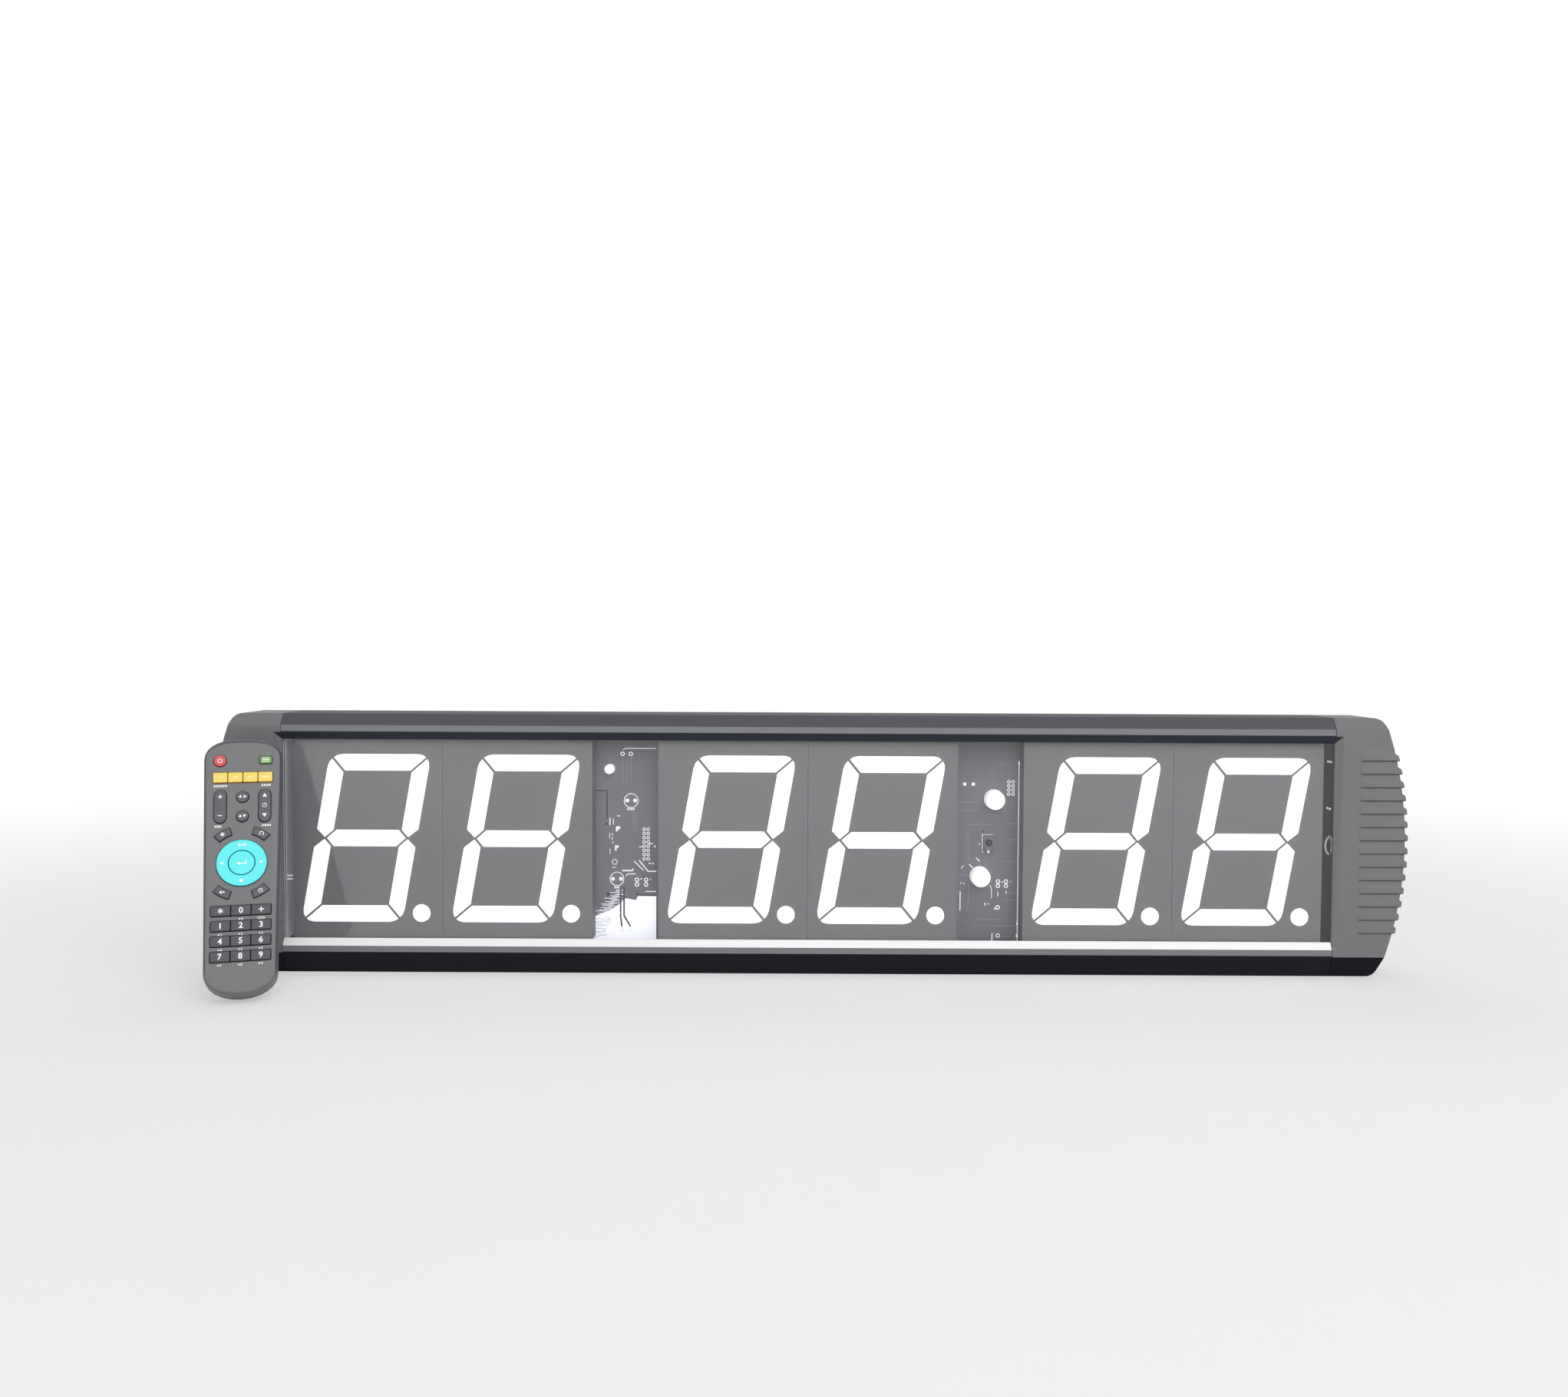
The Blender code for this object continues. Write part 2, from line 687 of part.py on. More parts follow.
def make_cap_mesh():
    reach = CAP_REACH + RIB_SIDE
    block = prisms("X", [cap_side(0.0)], CAP_INNER, reach)
    shell = combine(block, prisms("Y", [cap_outline(0.0)], FRONT - RIB_FRONT, BACK + RIB_FRONT),
                    "INTERSECT")
    ribbed = add(shell, cap_ribs())
    hollow = cut(ribbed, cap_hollow(), window_mitre())
    bosses = []
    tunnels = []
    shanks = []
    tunnel = SCREW_HEAD + TUNNEL_GAP
    for z in screw_places():
        bosses.append(circle(tunnel + TUNNEL_WALL, 20, (PORT_Y, z)))
        tunnels.append(circle(tunnel, 20, (PORT_Y, z)))
        shanks.append(circle(SCREW_SHANK + TUNNEL_GAP, 14, (PORT_Y, z)))
    outside = cut(prisms("X", bosses, CAP_INNER, reach), make_cap_excess())
    with_bosses = add(hollow, outside)
    return cut(with_bosses, prisms("X", tunnels, CAP_INNER + SCREW_SEAT, reach + RIB_SIDE),
               prisms("X", shanks, CAP_INNER - CAP_WALL, reach))


def make_cap_excess():
    """Everything beyond a cap's own side wall, which trims the screw bosses to it."""
    margin = CASE_HEIGHT
    reach = CAP_REACH + margin
    outline = [(CAP_INNER - CAP_WALL, -margin), (reach, -margin), (reach, CASE_HEIGHT + margin),
               (CAP_INNER - CAP_WALL, CASE_HEIGHT + margin)]
    slab = prisms("Y", [outline], FRONT, BACK + margin)
    trim = inset(cap_outline(0.0), CAP_WALL / 2)
    trim = [(x if x > CAP_INNER + CAP_WALL else CAP_INNER - 2 * CAP_WALL, z) for x, z in trim]
    return cut(slab, prisms("Y", [trim], FRONT - margin, BACK - CAP_WALL / 2))


def make_caps():
    right = make_cap_mesh()
    left = mirrored(right)
    for name, mesh in (("end_cap_right", right), ("end_cap_left", left)):
        smooth(node(name, mesh, grey_plastic()), 30)


def make_cap_screws():
    seat = CAP_INNER + SCREW_SEAT
    head = seat + SEAT_GAP
    profile = [(0, CASE_END - SCREW_BITE), (SCREW_SHANK, CASE_END - SCREW_BITE),
               (SCREW_SHANK, head), (SCREW_HEAD, head),
               (SCREW_HEAD, head + SCREW_HEAD_HEIGHT - SCREW_DOME),
               (SCREW_HEAD - SCREW_DOME, head + SCREW_HEAD_HEIGHT), (0, head + SCREW_HEAD_HEIGHT)]
    for place, z in zip(("upper", "lower"), screw_places()):
        right = turned("X", profile, (PORT_Y, z), SCREW_STEPS)
        left = mirrored(right)
        smooth(node("cap_screw_right_" + place, right, screw_steel()))
        smooth(node("cap_screw_left_" + place, left, screw_steel()))


# Digit modules

def digit_outlines(shrink):
    """Seven strokes and a point as flat outlines about the module's centre.

    Each stroke is the digit's rounded outline cut back by straight lines, leaning to the right.
    """
    half_x = DIGIT_WIDTH / 2
    half_z = DIGIT_HEIGHT / 2
    body = rounded_box(DIGIT_WIDTH - 2 * shrink, DIGIT_HEIGHT - 2 * shrink,
                       DIGIT_CORNER - shrink, 4)
    slack = STROKE_GAP / 2 + shrink
    mitre_slack = slack * math.sqrt(2)
    inner_z = half_z - STROKE + shrink
    inner_x = half_x - STROKE + shrink
    tip = half_x - NOTCH_DEPTH
    notch = Vector((NOTCH_DEPTH, NOTCH_RISE)).normalized()

    def beside_mitre(outline, sx, sz):
        """The bar's side of the mitre that runs in from the corner at (sx, sz)."""
        return clip(outline, (sx * (half_x - mitre_slack), sz * half_z), (-sx, sz))

    strokes = []
    for sz in (1, -1):
        bar = clip(body, (0, sz * inner_z), (0, sz))
        strokes.append(beside_mitre(beside_mitre(bar, 1, sz), -1, sz))
    for sx in (1, -1):
        for sz in (1, -1):
            post = clip(body, (sx * inner_x, 0), (sx, 0))
            post = clip(post, (sx * half_x, sz * (half_z - mitre_slack)), (sx, -sz))
            post = clip(post, (sx * tip - sx * notch.y * shrink, sz * notch.x * shrink),
                        (-sx * notch.y, sz * notch.x))
            post = clip(post, (sx * tip, sz * mitre_slack), (sx, sz))
            strokes.append(post)
    middle = rounded_box(DIGIT_WIDTH, STROKE - 2 * shrink, STROKE_CORNER, 1)
    for sx in (1, -1):
        for sz in (1, -1):
            middle = clip(middle, (sx * (tip - mitre_slack), 0), (-sx, -sz))
    strokes.append(middle)
    leaning = [[(x + z * DIGIT_SLANT + DIGIT_SHIFT, z) for x, z in outline]
               for outline in strokes]
    radius = POINT_DIAMETER / 2
    point_centre = (module_width() / 2 - POINT_FROM_EDGE, radius - half_z)
    leaning.append(circle(radius - shrink, 20, point_centre))
    return leaning


def module_width():
    return MODULE_PITCH - SEAT_GAP


def module_places():
    """Middles of the six modules, in pairs with a gap for the colon between them."""
    half = MODULE_PITCH / 2
    outer = GAP_CENTRE + MODULE_GAP / 2
    return [-outer - MODULE_PITCH - half, -outer - half, -half, half, outer + half,
            outer + MODULE_PITCH + half]


def make_modules():
    width = module_width()
    plate_back = MODULE_BACK - MODULE_FLOOR
    outside = box((-width / 2, MODULE_FRONT, -MODULE_HEIGHT / 2),
                  (width / 2, MODULE_BACK, MODULE_HEIGHT / 2))
    room_x = width / 2 - MODULE_SKIRT
    room_z = MODULE_HEIGHT / 2 - MODULE_SKIRT
    room = box((-room_x, plate_back, -room_z), (room_x, MODULE_BACK + MODULE_SKIRT, room_z))
    pockets = prisms("Y", digit_outlines(0.0), MODULE_FRONT - MODULE_SKIRT,
                     plate_back + MODULE_SKIRT)
    shell = cut(outside, room, pockets)
    slab_front = plate_back + SEAT_GAP
    slab_x = room_x - SEAT_GAP
    slab_z = room_z - SEAT_GAP
    slab = box((-slab_x, slab_front, -slab_z), (slab_x, slab_front + FILL_SLAB, slab_z))
    fill = add(slab, prisms("Y", digit_outlines(SEAT_GAP), MODULE_FRONT,
                            slab_front + FILL_SLAB / 2))
    for number, x in enumerate(module_places(), start=1):
        place = (x, 0, WINDOW_CENTRE)
        node("digit_shell_%d" % number, shell.copy(), module_grey(), location=place)
        node("digit_fill_%d" % number, fill.copy(), milk_white(), location=place)


# Display board

def make_display_board():
    half = CASE_END - BOARD_END_GAP
    edge = CASE_WALL + SEAT_GAP
    board = box((-half, BOARD_FRONT, edge), (half, BOARD_BACK, CASE_HEIGHT - edge))
    node("display_board", board, dark_board())


def lamp_profile(diameter, height, crown):
    """Profile of a round lamp that stands on the board, facing the window."""
    foot = BOARD_FRONT - SEAT_GAP
    radius = diameter / 2
    return [(0, foot), (radius, foot), (radius, foot - height + crown),
            (radius - crown, foot - height), (0, foot - height)]


def make_lamps():
    for name, sign in (("colon_lamp_upper", 1), ("colon_lamp_lower", -1)):
        rise = sign * COLON_SPREAD / 2
        centre = (GAP_CENTRE + rise * DIGIT_SLANT, WINDOW_CENTRE + rise)
        lamp = turned("Y", lamp_profile(COLON_DIAMETER, COLON_HEIGHT, COLON_CROWN), centre, 28)
        smooth(node(name, lamp, milk_white()))
    centre = (-GAP_CENTRE - STATUS_SHIFT, WINDOW_CENTRE + STATUS_RISE)
    lamp = turned("Y", lamp_profile(STATUS_DIAMETER, STATUS_HEIGHT, STATUS_CROWN), centre, 20)
    smooth(node("status_lamp", lamp, milk_white()))


def make_receiver():
    foot = BOARD_FRONT - SEAT_GAP
    centre = (GAP_CENTRE + RECEIVER_SHIFT[0], WINDOW_CENTRE + RECEIVER_SHIFT[1])
    body = box((centre[0] - RECEIVER_WIDTH / 2, foot - RECEIVER_DEPTH,
                centre[1] - RECEIVER_HEIGHT / 2),
               (centre[0] + RECEIVER_WIDTH / 2, foot, centre[1] + RECEIVER_HEIGHT / 2))
    top = foot - RECEIVER_DEPTH
    rounds = 3
    profile = [(0, top + RECEIVER_DEPTH / 2), (RECEIVER_DOME, top + RECEIVER_DEPTH / 2)]
    for step in range(rounds):
        angle = step * math.pi / 2 / rounds
        profile.append((RECEIVER_DOME * math.cos(angle), top - RECEIVER_DOME * math.sin(angle)))
    profile.append((0, top - RECEIVER_DOME))
    piece = node("ir_receiver", add(body, turned("Y", profile, centre, 16)), receiver_black())
    smooth(piece)


def make_jack():
    foot = BOARD_BACK + SEAT_GAP
    shoulder = BACK - CASE_WALL - JACK_LEDGE
    mouth = BACK
    half = JACK_BODY / 2
    body = box((JACK_X - half, foot, JACK_Z - half), (JACK_X + half, shoulder, JACK_Z + half))
    floor = mouth - JACK_BORE_DEPTH
    barrel = turned("Y", [(0, foot + half), (JACK_BARREL, foot + half), (JACK_BARREL, mouth),
                          (0, mouth)], (JACK_X, JACK_Z), 24)
    bore = turned("Y", [(0, floor), (JACK_BORE, floor), (JACK_BORE, mouth + half),
                        (0, mouth + half)], (JACK_X, JACK_Z), 20)
    pin = turned("Y", [(0, floor - JACK_PIN), (JACK_PIN, floor - JACK_PIN),
                       (JACK_PIN, mouth - 2 * JACK_PIN), (JACK_PIN / 2, mouth - JACK_PIN),
                       (0, mouth - JACK_PIN)], (JACK_X, JACK_Z), 12)
    smooth(node("dc_jack", add(cut(add(body, barrel), bore), pin), black_plastic()))


# Remote control

def bulge(half_width, rise, power, steps):
    """Half of a squared-off oval, from its right side over the top to its left side."""
    points = []
    for step in range(steps + 1):
        angle = math.pi * step / steps
        across = math.copysign(abs(math.cos(angle)) ** (2 / power), math.cos(angle))
        points.append((half_width * across, rise * math.sin(angle) ** (2 / power)))
    return points


def remote_outline(shrink, crown_shrink=None):
    """Outline of the remote seen from its keys, with its foot at zero.

    Its crown, the top end, shrinks by the same amount unless it is given its own.
    """
    crown = shrink if crown_shrink is None else crown_shrink
    top = bulge(REMOTE_HALF_TOP - shrink, REMOTE_TOP_ARC - crown, REMOTE_TOP_POWER, 12)
    foot = bulge(REMOTE_HALF_FOOT - shrink, REMOTE_FOOT_ARC - shrink, REMOTE_FOOT_POWER,
                 12)
    shoulder = REMOTE_LENGTH - REMOTE_TOP_ARC
    upper = [(x, shoulder + rise) for x, rise in top]
    lower = [(-x, REMOTE_FOOT_ARC - rise) for x, rise in foot]
    return upper + lower


def pad_rows():
    return [PAD_TOP_LINE - PAD_LINE_PITCH * row for row in range(4)]


def stadium(width, height):
    """An upright outline with half-round ends, about its own centre."""
    radius = width / 2
    straight = height / 2 - radius
    return arc((0, straight), radius, 0, math.pi, 8) + arc((0, -straight), radius, math.pi,
                                                           2 * math.pi, 8)


def corner_outline(angle):
    """A key that follows the ring, between two arcs about the ring's centre."""
    inner = arc((0, 0), CORNER_EDGES[0], angle - CORNER_SPREAD, angle + CORNER_SPREAD, 4)
    outer = arc((0, 0), CORNER_EDGES[1], angle + CORNER_SPREAD, angle - CORNER_SPREAD, 4)
    return outer + inner


def shell_openings():
    """Every opening in the front shell: the key outline there, with its running gap."""
    gap = KEY_GAP
    holes = [moved(circle(POWER_RADIUS + gap, 20), POWER_CENTRE),
             moved(rounded_box(EDIT_SIZE[0] + 2 * gap, EDIT_SIZE[1] + 2 * gap, KEY_CORNER),
                   EDIT_CENTRE),
             moved(rounded_box(4 * COLOUR_PITCH + gap, COLOUR_HEIGHT + 2 * gap, KEY_CORNER),
                   (0, COLOUR_LINE)),
             moved(circle(RING_EDGE + gap, 40), (0, RING_LINE))]
    for sign in (-1, 1):
        holes.append(moved(stadium(ROCKER_FORM[0] + 2 * gap, ROCKER_FORM[1] + 2 * gap),
                           (sign * ROCKER_X, ROCKER_LINE)))
    for row in ROUND_LINES:
        holes.append(moved(circle(ROUND_RADIUS + gap, 20), (0, row)))
    for angle in corner_angles():
        holes.append(moved(inset(corner_outline(angle), -gap), (0, RING_LINE)))
    for row in pad_rows():
        holes.append(moved(rounded_box(3 * PAD_COLUMN_PITCH + gap, PAD_KEY_HEIGHT + 2 * gap,
                                       KEY_CORNER), (0, row)))
    return holes


def corner_angles():
    return [math.pi - CORNER_ANGLE, CORNER_ANGLE, CORNER_ANGLE - math.pi, -CORNER_ANGLE]


def moved(points, place):
    return [(x + place[0], z + place[1]) for x, z in points]


def make_front_shell(parent):
    outside = skinned("Y", [(remote_outline(0.0), -SEAT_GAP / 2),
                            (remote_outline(0.0), REMOTE_FRONT + FACE_DROP),
                            (remote_outline(FACE_SHOULDER[0], CROWN_SHOULDER),
                             REMOTE_FRONT + FACE_SHOULDER[1]),
                            (remote_outline(FACE_BAND, FACE_CROWN), REMOTE_FRONT)])
    step = SHELL_INSIDE + FACE_SHOULDER[1]
    inside = skinned("Y", [(remote_outline(REMOTE_WALL), REMOTE_WALL),
                           (remote_outline(REMOTE_WALL), step),
                           (remote_outline(FACE_BAND + REMOTE_WALL / 2,
                                           FACE_CROWN + REMOTE_WALL / 2), SHELL_INSIDE)])
    openings = prisms("Y", shell_openings(), REMOTE_FRONT - REMOTE_WALL,
                      SHELL_INSIDE + REMOTE_WALL / 2)
    lamp_hole = prisms("Z", [circle(LAMP_RADIUS + SEAT_GAP, 14, (0, lamp_axis()))],
                       REMOTE_LENGTH - 3 * REMOTE_WALL, REMOTE_LENGTH + REMOTE_WALL)
    mesh = cut(outside, inside, openings, lamp_hole)
    piece = node("remote_front_shell", mesh, remote_plastic(), parent)
    smooth(piece, 35)
    return piece


def lamp_axis():
    return REMOTE_BOARD_FRONT - SEAT_GAP


def door_outline(shrink):
    return moved(rounded_box(DOOR_WIDTH - 2 * shrink, DOOR_LENGTH - 2 * shrink, DOOR_CORNER, 3),
                 (0, DOOR_FOOT + DOOR_LENGTH / 2))


def make_back_shell(parent):
    outside = skinned("Y", [(remote_outline(0.0), SEAT_GAP / 2),
                            (remote_outline(0.0), REMOTE_BACK - BACK_DROP),
                            (remote_outline(BACK_SHOULDER[0]), REMOTE_BACK - BACK_SHOULDER[1]),
                            (remote_outline(BACK_BAND), REMOTE_BACK)])
    inside = skinned("Y", [(remote_outline(REMOTE_WALL), -REMOTE_WALL),
                           (remote_outline(REMOTE_WALL), REMOTE_BACK - REMOTE_WALL - BACK_SHOULDER[1]),
                           (remote_outline(BACK_BAND), REMOTE_BACK - REMOTE_WALL)])
    doorway = prisms("Y", [door_outline(0.0)], REMOTE_BACK - 2 * REMOTE_WALL,
                     REMOTE_BACK + REMOTE_WALL)
    piece = node("remote_back_shell", cut(outside, inside, doorway), remote_plastic(), parent)
    smooth(piece, 35)
    return piece


def make_battery_door(parent):
    inner = BATTERY_AXIS + BATTERY_RADIUS + SEAT_GAP
    door = prisms("Y", [door_outline(SEAT_GAP)], 0.0, REMOTE_BACK - inner)
    grips = []
    for line in range(GRIP_COUNT):
        row = DOOR_FOOT + DOOR_LENGTH - GRIP_PITCH * (line + 2)
        grips.append(moved(rounded_box(*GRIP_SIZE, GRIP_SIZE[1] / 3, 1), (0, row)))
    outer = REMOTE_BACK - inner
    grooves = prisms("Y", grips, outer - GRIP_DEPTH, outer + GRIP_DEPTH)
    node("battery_door", cut(door, grooves), remote_plastic(), parent, (0, inner, 0))


def make_batteries(parent):
    low = BATTERY_FOOT
    high = low + BATTERY_LENGTH
    for number, sign in ((1, -1), (2, 1)):
        profile = [(0, low), (BATTERY_RADIUS, low), (BATTERY_RADIUS, high),
                   (BATTERY_NUB_RADIUS, high), (BATTERY_NUB_RADIUS, high + BATTERY_NUB),
                   (0, high + BATTERY_NUB)]
        centre = (sign * (BATTERY_RADIUS + SEAT_GAP), BATTERY_AXIS)
        cell = turned("Z", profile, centre, 20)
        smooth(node("battery_%d" % number, cell, battery_wrap(), parent))


def make_remote_board(parent):
    """The key board with the battery contacts and the infrared lamp that it carries."""
    outline = remote_outline(REMOTE_WALL + 3 * SEAT_GAP)
    board = prisms("Y", [outline], REMOTE_BOARD_FRONT, REMOTE_BOARD_BACK)
    half = 2 * BATTERY_RADIUS
    low = BATTERY_FOOT - SEAT_GAP
    high = BATTERY_FOOT + BATTERY_LENGTH + BATTERY_NUB + SEAT_GAP
    middle = (REMOTE_BOARD_FRONT + REMOTE_BOARD_BACK) / 2
    reach = REMOTE_BOARD_BACK + CONTACT_RISE
    foot_plate = box((-half, middle, low - CONTACT_THICKNESS), (half, reach, low))
    top_plate = box((-half, middle, high), (half, reach, high + CONTACT_THICKNESS))
    edge = REMOTE_LENGTH - REMOTE_WALL - 3 * SEAT_GAP
    profile = [(0, edge - LAMP_LENGTH), (LAMP_RADIUS, edge - LAMP_LENGTH),
               (LAMP_RADIUS, REMOTE_LENGTH - LAMP_RADIUS), (LAMP_RADIUS / 2, REMOTE_LENGTH),
               (0, REMOTE_LENGTH)]
    lamp = turned("Z", profile, (0, lamp_axis()), 14)
    mesh = add(board, foot_plate, top_plate, lamp)
    smooth(node("remote_board", mesh, green_board(), parent))


def key_mesh(outline, flange, drop=0.0, hole=None):
    """A key about its own centre: its cap stands proud and its foot widens behind the shell.

    The mesh's zero along Y is the outer face of the shell.
    """
    face = -KEY_PROUD
    crown = inset(outline, KEY_GAP)
    flange_face = FLANGE_FACE + drop - REMOTE_FRONT
    foot = flange_face + KEY_FLANGE
    cap = skinned("Y", [(crown, face), (outline_like(outline), face + KEY_GAP),
                        (outline_like(outline), foot)])
    if flange:
        cap = add(cap, prisms("Y", [flange], flange_face, foot))
    if hole:
        cap = cut(cap, prisms("Y", [hole], face - KEY_PROUD, foot + KEY_PROUD))
    return cap


def outline_like(outline):
    """The outline in the same order that inset gives."""
    return inset(outline, 0.0)


def key(parent, name, outline, place, colour, flange=None, drop=0.0, hole=None):
    finish = key_rubber(*colour)
    piece = node(name, key_mesh(outline, flange, drop, hole), finish, parent,
                 (place[0], REMOTE_FRONT, place[1]))
    smooth(piece, 35)


def make_keys(parent):
    dark = ("dark", (0.09, 0.09, 0.10))
    red = ("red", (0.62, 0.07, 0.07))
    green = ("green", (0.15, 0.36, 0.11))
    yellow = ("yellow", (0.90, 0.62, 0.08))
    cyan = ("cyan", (0.12, 0.72, 0.90))
    key(parent, "key_power", circle(POWER_RADIUS, 20), POWER_CENTRE, red,
        circle(POWER_RADIUS + KEY_LIP, 20))
    key(parent, "key_edit", rounded_box(*EDIT_SIZE, KEY_CORNER), EDIT_CENTRE, green,
        rounded_box(EDIT_SIZE[0] + 2 * KEY_LIP, EDIT_SIZE[1] + 2 * KEY_LIP, KEY_CORNER))
    for number in range(4):
        width = COLOUR_PITCH - KEY_GAP
        place = ((number - 1.5) * COLOUR_PITCH, COLOUR_LINE)
        key(parent, "key_colour_%d" % (number + 1), rounded_box(width, COLOUR_HEIGHT, ROW_KEY_CORNER),
            place, yellow, rounded_box(width, COLOUR_HEIGHT + 2 * KEY_LIP, ROW_KEY_CORNER))
    for name, sign in (("key_left_rocker", -1), ("key_right_rocker", 1)):
        outline = stadium(*ROCKER_FORM)
        key(parent, name, outline, (sign * ROCKER_X, ROCKER_LINE), dark,
            stadium(ROCKER_FORM[0] + 2 * KEY_LIP, ROCKER_FORM[1] + 2 * KEY_LIP), ROCKER_DROP)
    for name, row in zip(("key_round_upper", "key_round_lower"), ROUND_LINES):
        key(parent, name, circle(ROUND_RADIUS, 20), (0, row), dark,
            circle(ROUND_RADIUS + KEY_LIP, 20))
    for number, angle in enumerate(corner_angles(), start=1):
        key(parent, "key_corner_%d" % number, corner_outline(angle), (0, RING_LINE), dark,
            inset(corner_outline(angle), -KEY_LIP))
    key(parent, "key_ring", circle(RING_EDGE, 40), (0, RING_LINE), cyan,
        circle(RING_EDGE + KEY_LIP, 40), 0.0, circle(CENTRE_EDGE + KEY_GAP, 32))
    key(parent, "key_centre", circle(CENTRE_EDGE, 32), (0, RING_LINE), cyan)
    names = [["key_star", "key_0", "key_plus"], ["key_1", "key_2", "key_3"],
             ["key_4", "key_5", "key_6"], ["key_7", "key_8", "key_9"]]
    width = PAD_COLUMN_PITCH - KEY_GAP
    for row, labels in zip(pad_rows(), names):
        for column, name in enumerate(labels):
            key(parent, name, rounded_box(width, PAD_KEY_HEIGHT, ROW_KEY_CORNER),
                ((column - 1) * PAD_COLUMN_PITCH, row), dark,
                rounded_box(width, PAD_KEY_HEIGHT + 2 * KEY_LIP, ROW_KEY_CORNER))


def seat_remote(frame, shells):
    """Stand the remote on the floor and lean it on the ribs of the left cap."""
    turn = Matrix.Rotation(REMOTE_TURN, 4, "Z") @ Matrix.Rotation(-REMOTE_LEAN, 4, "X")
    corners = [turn @ vertex.co for shell in shells for vertex in shell.data.vertices]
    lowest = min(corner.z for corner in corners)
    place = Vector((REMOTE_X, 0, SEAT_GAP - lowest))
    rib_top = WINDOW_CENTRE + (RIB_COUNT - 1) / 2 * RIB_PITCH + RIB_HEIGHT / 2
    rooms = []
    for corner in corners:
        at = corner + place
        faces_ribs = at.z < rib_top + RIB_FRONT and at.x < SEAT_GAP - RIB_START
        rooms.append((RIB_FACE_FRONT if faces_ribs else FRONT) - SEAT_GAP - at.y)
    place.y = min(rooms)
    frame.matrix_world = Matrix.Translation(place) @ turn


def make_remote():
    frame = bpy.data.objects.new("remote_frame", None)
    bpy.context.scene.collection.objects.link(frame)
    shells = [make_front_shell(frame), make_back_shell(frame)]
    make_battery_door(frame)
    make_batteries(frame)
    make_remote_board(frame)
    make_keys(frame)
    seat_remote(frame, shells)


def main():
    clear_scene()
    make_case()
    make_window()
    make_caps()
    make_cap_screws()
    make_modules()
    make_display_board()
    make_lamps()
    make_receiver()
    make_jack()
    make_remote()


main()
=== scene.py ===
import json
import math

import bmesh
import bpy
from bpy.props import FloatProperty, FloatVectorProperty, PointerProperty
from mathutils import Matrix, Vector


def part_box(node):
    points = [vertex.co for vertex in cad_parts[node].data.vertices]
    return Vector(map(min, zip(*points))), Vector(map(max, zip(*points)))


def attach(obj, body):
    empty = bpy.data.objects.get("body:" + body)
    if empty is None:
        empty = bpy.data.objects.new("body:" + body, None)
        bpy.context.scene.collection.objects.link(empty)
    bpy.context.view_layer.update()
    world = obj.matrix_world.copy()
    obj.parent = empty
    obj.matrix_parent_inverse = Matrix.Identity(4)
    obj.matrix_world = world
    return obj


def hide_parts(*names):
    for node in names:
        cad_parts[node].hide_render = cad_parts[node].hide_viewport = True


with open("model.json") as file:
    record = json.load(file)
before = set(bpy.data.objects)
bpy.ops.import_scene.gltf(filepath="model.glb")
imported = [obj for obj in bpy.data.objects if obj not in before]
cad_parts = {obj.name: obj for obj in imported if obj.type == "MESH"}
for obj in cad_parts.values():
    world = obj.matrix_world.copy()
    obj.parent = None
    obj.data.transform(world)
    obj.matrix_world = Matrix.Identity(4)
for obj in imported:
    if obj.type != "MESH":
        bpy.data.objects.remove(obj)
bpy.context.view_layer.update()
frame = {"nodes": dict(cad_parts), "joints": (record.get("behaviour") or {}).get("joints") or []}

bl_info = {
    "name": "Digital Wall Timer",
    "version": (1, 0, 0),
    "blender": (4, 5, 0),
    "location": "3D View > Sidebar > Timer",
    "description": "Dresses the packed solids of a wall timer and its remote control",
    "category": "Object",
}

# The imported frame: the remote's own axes run across it, into its face, and up its length

NODES = frame["nodes"]
JOINTS = {joint["name"]: joint for joint in frame["joints"]}
MM = 0.001
WORLD = Matrix.Identity(4)
WHITE = (1.0, 1.0, 1.0, 1.0)
# The chamfers of case and caps end at this depth
CHAMFER_END = (-15.0 * MM, -14.8 * MM)
# A turned profile starts and ends this close to its axis
AXIS = 0.01 * MM


def axes_from(across, inward):
    """Axes whose columns are the across, inward and upward directions."""
    across = Vector(across).normalized()
    inward = Vector(inward).normalized()
    return Matrix((across, inward, across.cross(inward))).transposed().to_4x4()


def extent(points):
    """Lowest and highest corner of some points."""
    spans = list(zip(*points))
    return Vector([min(span) for span in spans]), Vector([max(span) for span in spans])


def local_box(node, axes):
    """Lowest and highest corner of a node in the given axes."""
    back = axes.inverted()
    return extent([back @ vertex.co for vertex in NODES[node].data.vertices])


def flat_middle(low, high):
    """Middle of a box, across and up."""
    return (low.x + high.x) / 2, (low.z + high.z) / 2


def remote_axes():
    """The remote's axes, with their zero on the middle of its face at the foot."""
    turned = axes_from(JOINTS["key_left_rocker_rock"]["axis"], JOINTS["key_0_press"]["axis"])
    low, high = local_box("remote_front_shell", turned)
    foot = Vector(((low.x + high.x) / 2, low.y, low.z))
    return Matrix.Translation(turned @ foot) @ turned


REMOTE = remote_axes()
REMOTE_LENGTH = local_box("remote_front_shell", REMOTE)[1].z
# Height in millimetres of the half oval that ends the remote's outline
CROWN = 13.4


# Settings that a user would change

def linear(code):
    """Linear red, green, blue and alpha of an sRGB hex colour."""
    shares = [int(code[i:i + 2], 16) / 255 for i in (0, 2, 4)]
    return tuple(c / 12.92 if c <= 0.04045 else ((c + 0.055) / 1.055) ** 2.4
                 for c in shares) + (1.0,)


def length(name, description, default):
    return FloatProperty(name=name, description=description, default=default, min=0.0,
                         precision=5, subtype="DISTANCE", unit="LENGTH")


def colour(name, description, code):
    return FloatVectorProperty(name=name, description=description, default=linear(code), size=4,
                               min=0.0, max=1.0, subtype="COLOR")


